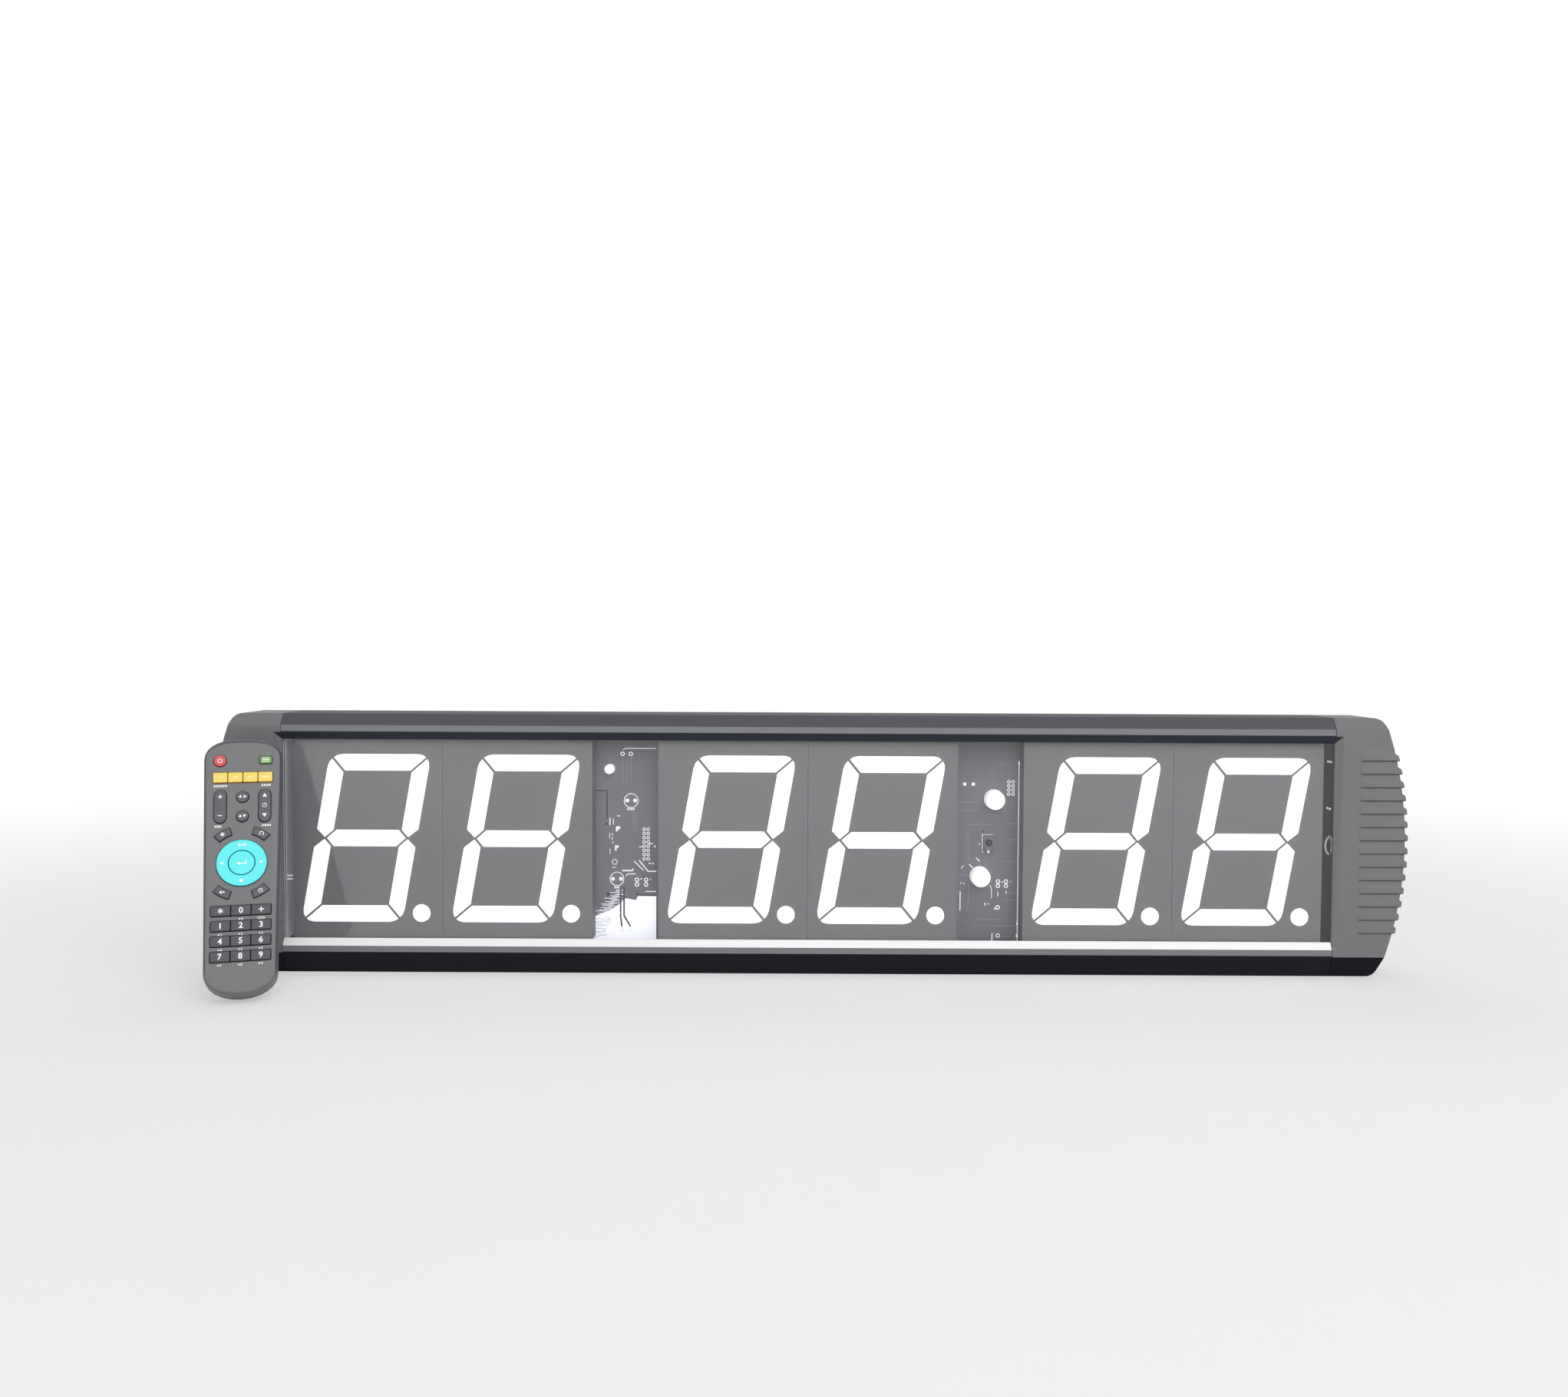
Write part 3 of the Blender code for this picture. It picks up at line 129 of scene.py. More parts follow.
class TimerSizes(bpy.types.PropertyGroup):
    """Sizes of the finishing details."""
    case_edge: length("Case edge", "Round along the case's long edges", 0.0003)
    cap_edge: length("Cap edge", "Round along the end caps' moulded edges", 0.0005)
    rib_front: length("Rib front", "How far a finger rib stands off a cap's front", 0.001)
    rib_side: length("Rib side", "How far a finger rib stands off a cap's side", 0.0018)
    shell_edge: length("Shell edge", "Round along the remote shells' edges", 0.00025)
    stroke_growth: length("Stroke growth", "How far a digit's stroke spreads past its pocket's fit",
                          0.00012)
    stroke_rise: length("Stroke rise", "How far a stroke stands in front of its module", 0.00015)
    stroke_round: length("Stroke round", "Round along a stroke's front edge", 0.0002)
    key_round: length("Key round", "Round along a key's top edge", 0.0005)
    key_crown: length("Key crown", "How far a key's middle rises above its edge", 0.00015)
    print_rise: length("Print rise", "How far printed marks stand off their surface", 0.00003)
    board_print: length("Board print", "Thickness of the board's print, tin and traces", 0.00006)
    floor_radius: length("Floor radius", "Radius of the studio floor", 6.0)


class TimerColours(bpy.types.PropertyGroup):
    """Colours of the finishes."""
    case: colour("Case", "Grey of the anodised case", "7C7D82")
    # The chamfer, roof and lip greys below are painted shade, and the silver is a painted
    # reflection
    case_top: colour("Case top chamfer", "Grey of the case's upper chamfer", "525158")
    case_roof: colour("Case roof", "Grey of the case's top, which lies flat", "29292D")
    case_sole: colour("Case sole", "Dark grey of the case's lower chamfer", "1F1E24")
    case_lip: colour("Case lip", "Dark grey of the bevel above the window", "2F323B")
    case_silver: colour("Case silver", "Bare bevel under the window", "FFFFFF")
    cap: colour("Cap", "Grey of the end caps", "7A7A7C")
    # The caps' shade colour is painted shade on the lower chamfer and the ribs' undersides
    cap_dark: colour("Cap shade", "Dark grey of the caps' lower chamfer", "1F1E24")
    window: colour("Window", "Tint of the clear front window", "F2F2F4")
    module: colour("Module", "Printed grey of the digit modules", "767677")
    module_side: colour("Module side", "Bare sides of the digit modules", "6E6E72")
    # The module edge grey is drawn as a thin pale line along the modules' seams
    module_edge: colour("Module edge", "Pale worn edge of the modules' print", "8E8E90")
    stroke: colour("Stroke", "Milky resin of the digits' strokes and the lamps", "F7F7F5")
    board: colour("Board", "Solder mask of the display board", "737279")
    trace: colour("Trace", "Copper under the solder mask", "96959C")
    trace_dark: colour("Dark trace", "Bare gaps in the board's copper", "2B2A30")
    tin: colour("Tin", "Soldered pads", "F2F3F6")
    # This near-white is painted glare on the board
    tin_plane: colour("Tin plane", "Broad tinned plane at the foot of the first gap", "F6F8FF")
    lead: colour("Lead", "Pale insulation of the loop at the end of the case", "A9A9AD")
    # The liner's pale grey is painted light, brightening a strip that lies in shade
    liner: colour("Liner", "Strip that closes the left end of the case", "8E8E92")
    legend: colour("Legend", "White print on the board", "F1F1EE")
    receiver: colour("Receiver", "Dark dome of the infrared receiver", "24282C")
    shield: colour("Shield", "Grey shield round the infrared receiver", "6A6A70")
    inlet: colour("Inlet", "Black moulding of the power inlet", "18181A")
    steel: colour("Steel", "Zinc-plated screws, pins and contacts", "B9BABD")
    remote: colour("Remote", "Grey of the remote's shells", "747476")
    # The front shell's shoulder is painted in this darker grey, a painted shade
    remote_band: colour("Remote band", "Darker sides of the remote's front shell", "504F57")
    # Each key's side colour below is painted shade, darker where the edge turns from the light
    key_dark: colour("Dark keys", "Grey of the plain keys", "5F5E64")
    key_dark_side: colour("Dark key sides", "Sides of the plain keys", "2E2D33")
    key_pad: colour("Number keys", "Grey of the number keys", "535258")
    key_pad_side: colour("Number key sides", "Sides of the number keys", "242329")
    key_red: colour("Red key", "Top of the power key", "DE6060")
    key_red_side: colour("Red key sides", "Sides of the power key", "B03A44")
    key_green: colour("Green key", "Top of the edit key", "79A959")
    key_green_side: colour("Green key sides", "Sides of the edit key", "4C7A38")
    key_yellow: colour("Yellow keys", "Tops of the four yellow keys", "FFE476")
    key_yellow_side: colour("Yellow key sides", "Sides of the yellow keys", "EE8420")
    key_cyan: colour("Cyan keys", "Top of the ring and its centre key", "6CFCFE")
    key_cyan_side: colour("Cyan key sides", "Sides of the ring and its centre key", "2A86C8")
    ink: colour("Ink", "White print on the remote", "FAFAFA")
    remote_board: colour("Remote board", "Solder mask of the remote's board", "1F5B33")
    cell_wrap: colour("Cell sleeve", "Printed sleeve of the battery cells", "2A3036")
    cell_band: colour("Cell band", "Metallic band at the cells' upper end", "C9A15A")
    floor: colour("Floor", "Pale studio floor", "F6F6F6")


def tint(name):
    return tuple(getattr(bpy.context.scene.timer_colours, name))


def size(name):
    return getattr(bpy.context.scene.timer_sizes, name)


# Materials

def add_node(tree, kind, inputs=None, stops=None, **settings):
    """Adds one node with its settings, its inputs, and stops of colours that don't blend.

    An input is a value, another node's output, or a node, which stands for its first output.
    """
    node = tree.nodes.new(kind)
    for name, value in settings.items():
        setattr(node, name, value)
    for index, (place, shade) in enumerate(stops or ()):
        elements = node.color_ramp.elements
        stop = elements[index] if index < 2 else elements.new(place)
        stop.position = place
        stop.color = shade
        node.color_ramp.interpolation = "CONSTANT"
    for socket, value in (inputs or {}).items():
        if isinstance(value, bpy.types.Node):
            value = value.outputs[0]
        if isinstance(value, bpy.types.NodeSocket):
            tree.links.new(value, node.inputs[socket])
        else:
            node.inputs[socket].default_value = value
    return node


def begin(name):
    """An empty node material, its tree, and the object's own coordinates in it."""
    material = bpy.data.materials.new(name)
    material.use_nodes = True
    tree = material.node_tree
    tree.nodes.clear()
    return material, tree, add_node(tree, "ShaderNodeTexCoord").outputs["Object"]


def close(material, shader):
    add_node(material.node_tree, "ShaderNodeOutputMaterial", {"Surface": shader})
    return material


def finish(make, *shades):
    """The material that a function makes, made once and then shared."""
    name = "_".join((make.__name__,) + shades)
    return bpy.data.materials.get(name) or make(name, *shades)


def facing(tree):
    """Which way the true surface faces, as X, Y and Z."""
    normal = add_node(tree, "ShaderNodeNewGeometry").outputs["True Normal"]
    return add_node(tree, "ShaderNodeSeparateXYZ", {"Vector": normal}).outputs


def seen(tree):
    """One for what is seen straight, in a reflection or through glass, not for soft light."""
    path = add_node(tree, "ShaderNodeLightPath").outputs
    straight = add_node(tree, "ShaderNodeMath",
                        {0: path["Is Camera Ray"], 1: path["Is Glossy Ray"]}, operation="ADD")
    return add_node(tree, "ShaderNodeMath", {0: straight, 1: path["Is Transmission Ray"]},
                    operation="ADD", use_clamp=True)


def grain(tree, place, lump, depth, detail=2.0, edge=0.0):
    """Fine unevenness, its lumps lump millimetres across and depth millimetres deep.

    With an edge radius, the shading also rounds every sharp edge by it.
    """
    height = add_node(tree, "ShaderNodeTexNoise",
                      {"Vector": place, "Scale": 1 / (lump * MM), "Detail": detail})
    inputs = {"Height": height, "Distance": depth * MM, "Strength": 1.0}
    if edge:
        inputs["Normal"] = add_node(tree, "ShaderNodeBevel", {"Radius": edge})
    return height, add_node(tree, "ShaderNodeBump", inputs)


def spread(tree, value, low, high, end=1.0):
    """A value that runs from zero to the end, spread between two numbers."""
    return add_node(tree, "ShaderNodeMapRange", {"Value": value, "From Max": end, "To Min": low,
                                                 "To Max": high})


def above(tree, value, start, end):
    """Zero below the start and one above the end, with a smooth rise between them."""
    return add_node(tree, "ShaderNodeMapRange",
                    {"Value": value, "From Min": start, "From Max": end},
                    interpolation_type="SMOOTHSTEP")


def speckled(tree, place, shade, lump, strength):
    """A colour with faint lighter and darker clouds, lump millimetres across."""
    clouds = add_node(tree, "ShaderNodeTexNoise",
                      {"Vector": place, "Scale": 1 / (lump * MM), "Detail": 3.0})
    return add_node(tree, "ShaderNodeHueSaturation",
                    {"Color": shade, "Value": spread(tree, clouds, 1 - strength, 1 + strength)})


def along(tree, place, axis):
    """How far a point of the world lies along one of the remote's axes."""
    direction = REMOTE.col[axis].to_3d()
    reach = add_node(tree, "ShaderNodeVectorMath", {0: place, 1: tuple(direction)},
                     operation="DOT_PRODUCT").outputs["Value"]
    return add_node(tree, "ShaderNodeMath", {0: reach, 1: REMOTE.translation.dot(direction)},
                    operation="SUBTRACT")


def from_axis(tree, place, node):
    """How far a point lies from the line that runs front to back through a node's middle."""
    middle = sum(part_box(node), Vector()) / 2
    moved = add_node(tree, "ShaderNodeVectorMath", {0: place, 1: (-middle.x, 0.0, -middle.z)},
                     operation="ADD")
    flat = add_node(tree, "ShaderNodeVectorMath", {0: moved, 1: (1.0, 0.0, 1.0)},
                    operation="MULTIPLY")
    return add_node(tree, "ShaderNodeVectorMath", {0: flat}, operation="LENGTH").outputs["Value"]


def coat(name, shade, bumps, roughness, clouds=None, painted_glow=0.0, more=None):
    """A finish in one colour: bumps are (lump, depth), clouds are (lump, strength).

    The painted glow is emission that brightens the colour: painted light.
    """
    material, tree, place = begin(name)
    fine, normal = grain(tree, place, *bumps)
    inputs = {"Base Color": tint(shade), "Roughness": spread(tree, fine, *roughness),
              "Normal": normal, "Emission Color": tint(shade), "Emission Strength": painted_glow}
    if clouds:
        inputs["Base Color"] = speckled(tree, place, tint(shade), *clouds)
    inputs.update(more or {})
    return close(material, add_node(tree, "ShaderNodeBsdfPrincipled", inputs))


def anodised_aluminium(name):
    """Extruded aluminium, etched and anodised grey.

    The etch gives an even satin grey, and the die leaves faint straight lines along the length.
    The bevel under the window is bare and bright, and its pure white is a painted reflection.
    The bevel over it, both chamfers and the flat top are painted darker than the front, as
    painted shade.
    """
    material, tree, place = begin(name)
    axes = add_node(tree, "ShaderNodeSeparateXYZ", {"Vector": place}).outputs
    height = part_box("case_extrusion")[1].z
    # Each zone of the front starts at this height in millimetres. All but the plain case grey are
    # painted shade, and the silver is a painted reflection
    zones = [(0.0, "case_sole"), (12.85, "case"), (16.9, "case_silver"), (21.35, "case"),
             (140.65, "case_lip"), (145.1, "case"), (149.2, "case_top"), (155.9, "case_roof")]
    rise = add_node(tree, "ShaderNodeMath", {0: axes["Z"], 1: height}, operation="DIVIDE")
    front = add_node(tree, "ShaderNodeValToRGB", {"Fac": rise},
                     stops=[(start * MM / height, tint(shade)) for start, shade in zones])
    behind = above(tree, axes["Y"], *CHAMFER_END)
    roof = above(tree, axes["Z"], height - 0.2 * MM, height - 0.1 * MM)
    back = add_node(tree, "ShaderNodeMath", {0: behind, 1: roof}, operation="SUBTRACT",
                    use_clamp=True)
    shade = add_node(tree, "ShaderNodeMix", {"Factor": back, 6: front, 7: tint("case")},
                     data_type="RGBA").outputs[2]
    # Die lines are finer than a tenth of a millimetre; they are drawn 0.7 mm apart to show
    stretched = add_node(tree, "ShaderNodeVectorMath", {0: place, 1: (0.004, 1.0, 1.0)},
                         operation="MULTIPLY")
    lines, normal = grain(tree, stretched, 0.7, 0.012, 1.0, size("case_edge"))
    return close(material, add_node(tree, "ShaderNodeBsdfPrincipled", {
        "Base Color": speckled(tree, stretched, shade, 9.0, 0.035),
        "Roughness": spread(tree, lines, 0.42, 0.56), "Normal": normal,
        "Specular IOR Level": spread(tree, shade, 0.04, 0.5, 0.17)}))


def textured_abs(name):
    """Injection-moulded ABS from a spark-eroded mould.

    The mould leaves a fine matt pebble that softens every highlight. What faces the table, the
    lower chamfer and the undersides of the ribs, is painted nearly black as painted shade, as on
    the case.
    """
    material, tree, place = begin(name)
    axes = add_node(tree, "ShaderNodeSeparateXYZ", {"Vector": place}).outputs
    # The lower chamfer ends 12.8 mm up
    plain = add_node(tree, "ShaderNodeMath", {0: above(tree, axes["Z"], 12.7 * MM, 12.9 * MM),
                                              1: above(tree, axes["Y"], *CHAMFER_END)},
                     operation="MAXIMUM")
    # The lower chamfer and the ribs' undersides are painted nearly black, a painted shade
    shade = tint("cap_dark")
    under = above(tree, facing(tree)["Z"], -0.3, -0.5)
    for share, other in ((plain, "cap"), (under, "cap_dark")):
        shade = add_node(tree, "ShaderNodeMix", {"Factor": share, 6: shade, 7: tint(other)},
                         data_type="RGBA").outputs[2]
    # The pebble is about 0.1 mm across in the mould and is drawn at 0.5 mm to show
    pebble, normal = grain(tree, place, 0.5, 0.02, 2.0, size("cap_edge"))
    return close(material, add_node(tree, "ShaderNodeBsdfPrincipled", {
        "Base Color": speckled(tree, place, shade, 12.0, 0.03),
        "Roughness": spread(tree, pebble, 0.55, 0.7), "Normal": normal,
        "Specular IOR Level": spread(tree, plain, 0.05, 0.35)}))


def clear_acrylic(name):
    """Extruded clear acrylic sheet.

    Polished faces reflect a little of the studio and show what lies behind. It lets the lamps
    through, so that the digits behind it are lit as in air.
    """
    material, tree, place = begin(name)
    # A sheet's faces roll by a few hundredths of a millimetre over tens of millimetres
    normal = grain(tree, place, 60.0, 0.02, 1.0)[1]
    glass = add_node(tree, "ShaderNodeBsdfPrincipled",
                     {"Base Color": tint("window"), "Roughness": 0.02, "IOR": 1.49,
                      "Specular IOR Level": 0.3, "Transmission Weight": 1.0, "Normal": normal})
    clear = add_node(tree, "ShaderNodeBsdfTransparent", {"Color": tint("window")})
    shadow = add_node(tree, "ShaderNodeLightPath").outputs["Is Shadow Ray"]
    return close(material, add_node(tree, "ShaderNodeMixShader",
                                    {"Fac": shadow, 1: glass, 2: clear}))


def printed_module(name):
    """Moulded housing, screen-printed matt grey on its front.

    The sides are the bare moulding, a shade darker than the print. Faint broad clouds keep the
    print from looking flat.
    """
    material, tree, place = begin(name)
    side = above(tree, facing(tree)["Y"], -0.6, -0.4)
    # Screen print has a tooth of about 0.05 mm, drawn at 0.3 mm to show
    tooth, normal = grain(tree, place, 0.3, 0.008)
    shade = add_node(tree, "ShaderNodeMix",
                     {"Factor": side, 6: tint("module"), 7: tint("module_side")},
                     data_type="RGBA").outputs[2]
    return close(material, add_node(tree, "ShaderNodeBsdfPrincipled", {
        "Base Color": speckled(tree, place, shade, 30.0, 0.05), "IOR": 1.5,
        "Roughness": spread(tree, tooth, 0.55, 0.7), "Normal": normal}))


def milky_resin(name):
    """Cast epoxy filled with white pigment, which spreads the light of the lamps in it.

    It looks solid white and softly glossy; the little light it gives off is painted light.
    """
    return coat(name, "stroke", (4.0, 0.01), (0.3, 0.4), (8.0, 0.01), 0.55, {"IOR": 1.55})


def solder_mask(name, mask):
    """Glass-fibre board under a satin solder mask.

    The weave of the glass lifts the mask in faint squares, and the copper planes under it show
    as slightly lighter patches.
    """
    material, tree, place = begin(name)
    # Glass threads are 0.4 mm apart and are drawn 1.2 mm apart to show
    weave = add_node(tree, "ShaderNodeTexBrick",
                     {"Vector": place, "Scale": 1 / (2.4 * MM), "Mortar Size": 0.12,
                      "Color1": WHITE, "Color2": (0.9, 0.9, 0.9, 1.0),
                      "Mortar": (0.7, 0.7, 0.7, 1.0)})
    patches = add_node(tree, "ShaderNodeTexVoronoi", {"Vector": place, "Scale": 1 / (14 * MM)},
                       distance="CHEBYCHEV").outputs["Distance"]
    shade = add_node(tree, "ShaderNodeHueSaturation",
                     {"Color": tint(mask), "Value": spread(tree, patches, 0.94, 1.08)})
    bump = add_node(tree, "ShaderNodeBump",
                    {"Height": weave.outputs["Color"], "Distance": 0.008 * MM})
    return close(material, add_node(tree, "ShaderNodeBsdfPrincipled", {
        "Base Color": shade, "Roughness": 0.42, "Normal": bump, "IOR": 1.5}))


def board_finish(name, shade, metallic, roughness, painted_glow=0.0):
    """Print, tin or copper on the board: thin, slightly uneven, sharp at its edges."""
    return coat(name, shade, (0.6, 0.01), (roughness - 0.06, roughness + 0.06), (1.5, 0.06), painted_glow,
                {"Metallic": metallic})


def epoxy_ink(name):
    """White epoxy ink screened on the board: matt and nearly opaque, with a painted glow."""
    return board_finish(name, "legend", 0.0, 0.6, 0.35)


def epoxy_ink_worn(name):
    """A thin pale line along the edges where two modules meet."""
    return board_finish(name, "module_edge", 0.0, 0.6)


def lit_liner(name):
    """Matt grey board at the end of the digits, pale and glowing as painted light on a shaded
    strip.
    """
    return board_finish(name, "liner", 0.0, 0.65, 0.45)


def hot_tin(name):
    """Solder levelled with hot air: a bright metal in low soft domes; its glow is a painted
    highlight.
    """
    return board_finish(name, "tin", 0.3, 0.35, 0.35)


def masked_copper(name):
    """Copper track under the mask: the mask's grey, a little lighter, with a soft edge."""
    return board_finish(name, "trace", 0.0, 0.4)


def bare_gap(name):
    """Gap in the copper where the mask lies on dark glass fibre."""
    return board_finish(name, "trace_dark", 0.0, 0.45)


def levelled_tin(name):
    """Painted glare on the board: a broad white patch with a glow of its own."""
    return coat(name, "tin_plane", (2.5, 0.01), (0.3, 0.45), None, 0.6, {"Metallic": 0.2})


def pvc_lead(name):
    """Pale grey PVC over a flexible lead: soft, slightly glossy, with a painted glow."""
    return coat(name, "lead", (1.0, 0.01), (0.35, 0.45), (2.0, 0.03), 0.3)


def zinc_plated_steel(name):
    """Cold-headed steel, zinc plated: a soft grey metal with faint cloudy brightness."""
    return coat(name, "steel", (0.8, 0.008), (0.25, 0.4), (1.0, 0.05), 0.0, {"Metallic": 1.0})


def pad_ink(name):
    """White silicone ink pressed on the keys and shell: opaque, matt, slightly uneven, with a faint
    painted glow.
    """
    return coat(name, "ink", (0.5, 0.01), (0.5, 0.65), (1.5, 0.03), 0.12)


def filter_resin(name):
    """Infrared receiver in a tinned shield: a satin grey box round a dark glassy dome.

    The dome is epoxy dyed to pass only infrared, so it reads nearly black with a soft sheen.
    """
    material, tree, place = begin(name)
    shield = above(tree, from_axis(tree, place, "ir_receiver"), 2.15 * MM, 2.25 * MM)
    shade = add_node(tree, "ShaderNodeMix",
                     {"Factor": shield, 6: tint("receiver"), 7: tint("shield")},
                     data_type="RGBA").outputs[2]
    fine, normal = grain(tree, place, 1.5, 0.01, 2.0, 0.2 * MM)
    return close(material, add_node(tree, "ShaderNodeBsdfPrincipled", {
        "Base Color": shade, "Roughness": spread(tree, fine, 0.3, 0.4), "Normal": normal,
        "IOR": 1.56}))


def moulded_nylon(name):
    """Black glass-filled nylon of the power inlet, with its steel pin inside.

    The nylon is matt with short pale fibres in it, and the pin is bright.
    """
    material, tree, place = begin(name)
    # The pin is 2.5 mm thick and ends 9.5 mm inside the back
    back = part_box("dc_jack")[1].y
    outside = above(tree, from_axis(tree, place, "dc_jack"), 1.2 * MM, 1.3 * MM)
    depth = add_node(tree, "ShaderNodeSeparateXYZ", {"Vector": place}).outputs["Y"]
    inner = above(tree, depth, back - 9.6 * MM, back - 9.5 * MM)
    pin = add_node(tree, "ShaderNodeMath", {0: inner, 1: outside}, operation="SUBTRACT",
                   use_clamp=True)
    shade = add_node(tree, "ShaderNodeMix", {"Factor": pin, 6: tint("inlet"), 7: tint("steel")},
                     data_type="RGBA").outputs[2]
    fibres, normal = grain(tree, place, 0.4, 0.015)
    return close(material, add_node(tree, "ShaderNodeBsdfPrincipled", {
        "Base Color": shade, "Roughness": spread(tree, fibres, 0.4, 0.55), "Normal": normal,
        "Metallic": pin}))


def outside_crown(tree, across, rise):
    """One on the remote's top shoulder, outside the oval that ends its face there."""
    powers = []
    # Across, both sides count; in height, only what lies above the oval's middle
    for value, start, reach, kept in ((across, 0.0, 20.1 * MM, "ABSOLUTE"),
                                      (rise, REMOTE_LENGTH - CROWN * MM, 10.2 * MM, "MAXIMUM")):
        for operation, number in (("SUBTRACT", start), ("DIVIDE", reach), (kept, 0.0),
                                  ("POWER", 2.4)):
            value = add_node(tree, "ShaderNodeMath", {0: value, 1: number}, operation=operation)
        powers.append(value)
    total = add_node(tree, "ShaderNodeMath", dict(enumerate(powers)), operation="ADD")
    return above(tree, total, 0.96, 1.06)


def satin_abs(name, shoulder_painted_shade):
    """Injection-moulded ABS of the remote, from a finely blasted mould.

    The face is an even mid grey. The rounded shoulder that runs down both sides and over the
    top turns away from the light and is painted darker, a painted shade. A shell without it
    takes one grey for both.
    """
    material, tree, place = begin(name)
    axes = add_node(tree, "ShaderNodeSeparateXYZ", {"Vector": place}).outputs
    sides = add_node(tree, "ShaderNodeMath", {0: above(tree, axes["Y"], 0.06 * MM, 0.35 * MM),
                                              1: above(tree, axes["Z"], 8.0 * MM, 16.0 * MM)},
                     operation="MULTIPLY")
    shoulder = add_node(tree, "ShaderNodeMath",
                        {0: sides, 1: outside_crown(tree, axes["X"], axes["Z"])},
                        operation="MAXIMUM")
    shade = add_node(tree, "ShaderNodeMix",
                     {"Factor": shoulder, 6: tint("remote"), 7: tint(shoulder_painted_shade)},
                     data_type="RGBA").outputs[2]
    # The blasted grain is under 0.1 mm across and is drawn at 0.35 mm to show
    pebble, normal = grain(tree, place, 0.35, 0.012, 2.0, size("shell_edge"))
    return close(material, add_node(tree, "ShaderNodeBsdfPrincipled", {
        "Base Color": speckled(tree, place, shade, 7.0, 0.02), "IOR": 1.53,
        "Roughness": spread(tree, pebble, 0.48, 0.62), "Normal": normal}))


def silicone_rubber(name, top, side):
    """Moulded silicone key with a sprayed satin coat.

    The sides take a deeper colour than the top: painted shade where the edge turns from the light.
    """
    material, tree, place = begin(name)
    depth = add_node(tree, "ShaderNodeSeparateXYZ", {"Vector": place}).outputs["Y"]
    # The sides take the deeper colour, a painted shade
    shade = add_node(tree, "ShaderNodeMix", {"Factor": above(tree, depth, -1.0 * MM, -0.55 * MM),
                                             6: tint(top), 7: tint(side)},
                     data_type="RGBA").outputs[2]
    # Silicone's skin has lumps of about 0.1 mm, drawn at 0.4 mm to show
    fine, normal = grain(tree, place, 0.4, 0.01)
    return close(material, add_node(tree, "ShaderNodeBsdfPrincipled", {
        "Base Color": speckled(tree, place, shade, 3.0, 0.03), "IOR": 1.41,
        "Roughness": spread(tree, fine, 0.42, 0.56), "Normal": normal}))


def remote_board_finish(name):
    """Green solder mask on the key board, with its plated battery contacts.

    The board is flat and satin. What stands up behind it is bent spring steel, which is bright.
    """
    material, tree, place = begin(name)
    front = local_box("remote_board", REMOTE)[0].y
    metal = above(tree, along(tree, place, 1), front + 2.7 * MM, front + 2.8 * MM)
    shade = add_node(tree, "ShaderNodeMix",
                     {"Factor": metal, 6: tint("remote_board"), 7: tint("steel")},
                     data_type="RGBA").outputs[2]
    weave, normal = grain(tree, place, 0.8, 0.01)
    return close(material, add_node(tree, "ShaderNodeBsdfPrincipled", {
        "Base Color": shade, "Roughness": spread(tree, weave, 0.3, 0.45), "Normal": normal,
        "Metallic": metal}))


def cell_sleeve(name):
    """Shrunk plastic sleeve over a steel cell: glossy, dark, with a metallic band at one end."""
    material, tree, place = begin(name)
    rise = along(tree, place, 2)
    top = local_box("battery_1", REMOTE)[1].z
    band = above(tree, rise, top - 12.0 * MM, top - 11.8 * MM)
    cap = above(tree, rise, top - 1.4 * MM, top - 1.3 * MM)
    shade = tint("cell_wrap")
    for share, other in ((band, "cell_band"), (cap, "steel")):
        shade = add_node(tree, "ShaderNodeMix", {"Factor": share, 6: shade, 7: tint(other)},
                         data_type="RGBA").outputs[2]
    fine, normal = grain(tree, place, 3.0, 0.01)
    return close(material, add_node(tree, "ShaderNodeBsdfPrincipled", {
        "Base Color": shade, "Roughness": spread(tree, fine, 0.2, 0.32), "Normal": normal,
        "Metallic": band}))


def studio_floor(name):
    """Seamless pale card.

    Near the object it is lit as any surface and keeps the shadow. Further out it fades to
    plain white for the camera, for reflections and for what is seen through glass.
    """
    material, tree, place = begin(name)
    reach = add_node(tree, "ShaderNodeVectorMath", {0: place}, operation="LENGTH")
    far = above(tree, reach.outputs["Value"], 0.4, 1.3)
    share = add_node(tree, "ShaderNodeMath", {0: spread(tree, far, 0.4, 1.0), 1: seen(tree)},
                     operation="MULTIPLY")
    fibre, normal = grain(tree, place, 1.2, 0.02)
    card = add_node(tree, "ShaderNodeBsdfPrincipled",
                    {"Base Color": speckled(tree, place, tint("floor"), 30.0, 0.01),
                     "Roughness": spread(tree, fibre, 0.8, 0.9), "Normal": normal,
                     "Specular IOR Level": 0.2})
    white = add_node(tree, "ShaderNodeEmission", {"Color": WHITE, "Strength": 1.0})
    return close(material, add_node(tree, "ShaderNodeMixShader", {"Fac": share, 1: card, 2: white}))


# Shapes. Flat outlines are (across, up) pairs that run anticlockwise as seen from the front

def offset(loop, distance):
    """A flat closed outline moved in by the distance, or out by a negative one."""
    moved = []
    for i, corner in enumerate(loop):
        before = (corner - loop[i - 1]).normalized()
        after = (loop[(i + 1) % len(loop)] - corner).normalized()
        left = Vector((-before.y, before.x))
        bisector = (left + Vector((-after.y, after.x))).normalized()
        moved.append(corner + bisector * (distance / max(bisector.dot(left), 0.4)))
    return moved


def middle_of(loop):
    return sum(extent(loop), Vector((0.0, 0.0))) / 2


def height_of(loop):
    low, high = extent(loop)
    return high.y - low.y


def scaled(loop, share):
    """A flat outline drawn in towards its own middle."""
    centre = middle_of(loop)
    return [centre + (point - centre) * share for point in loop]


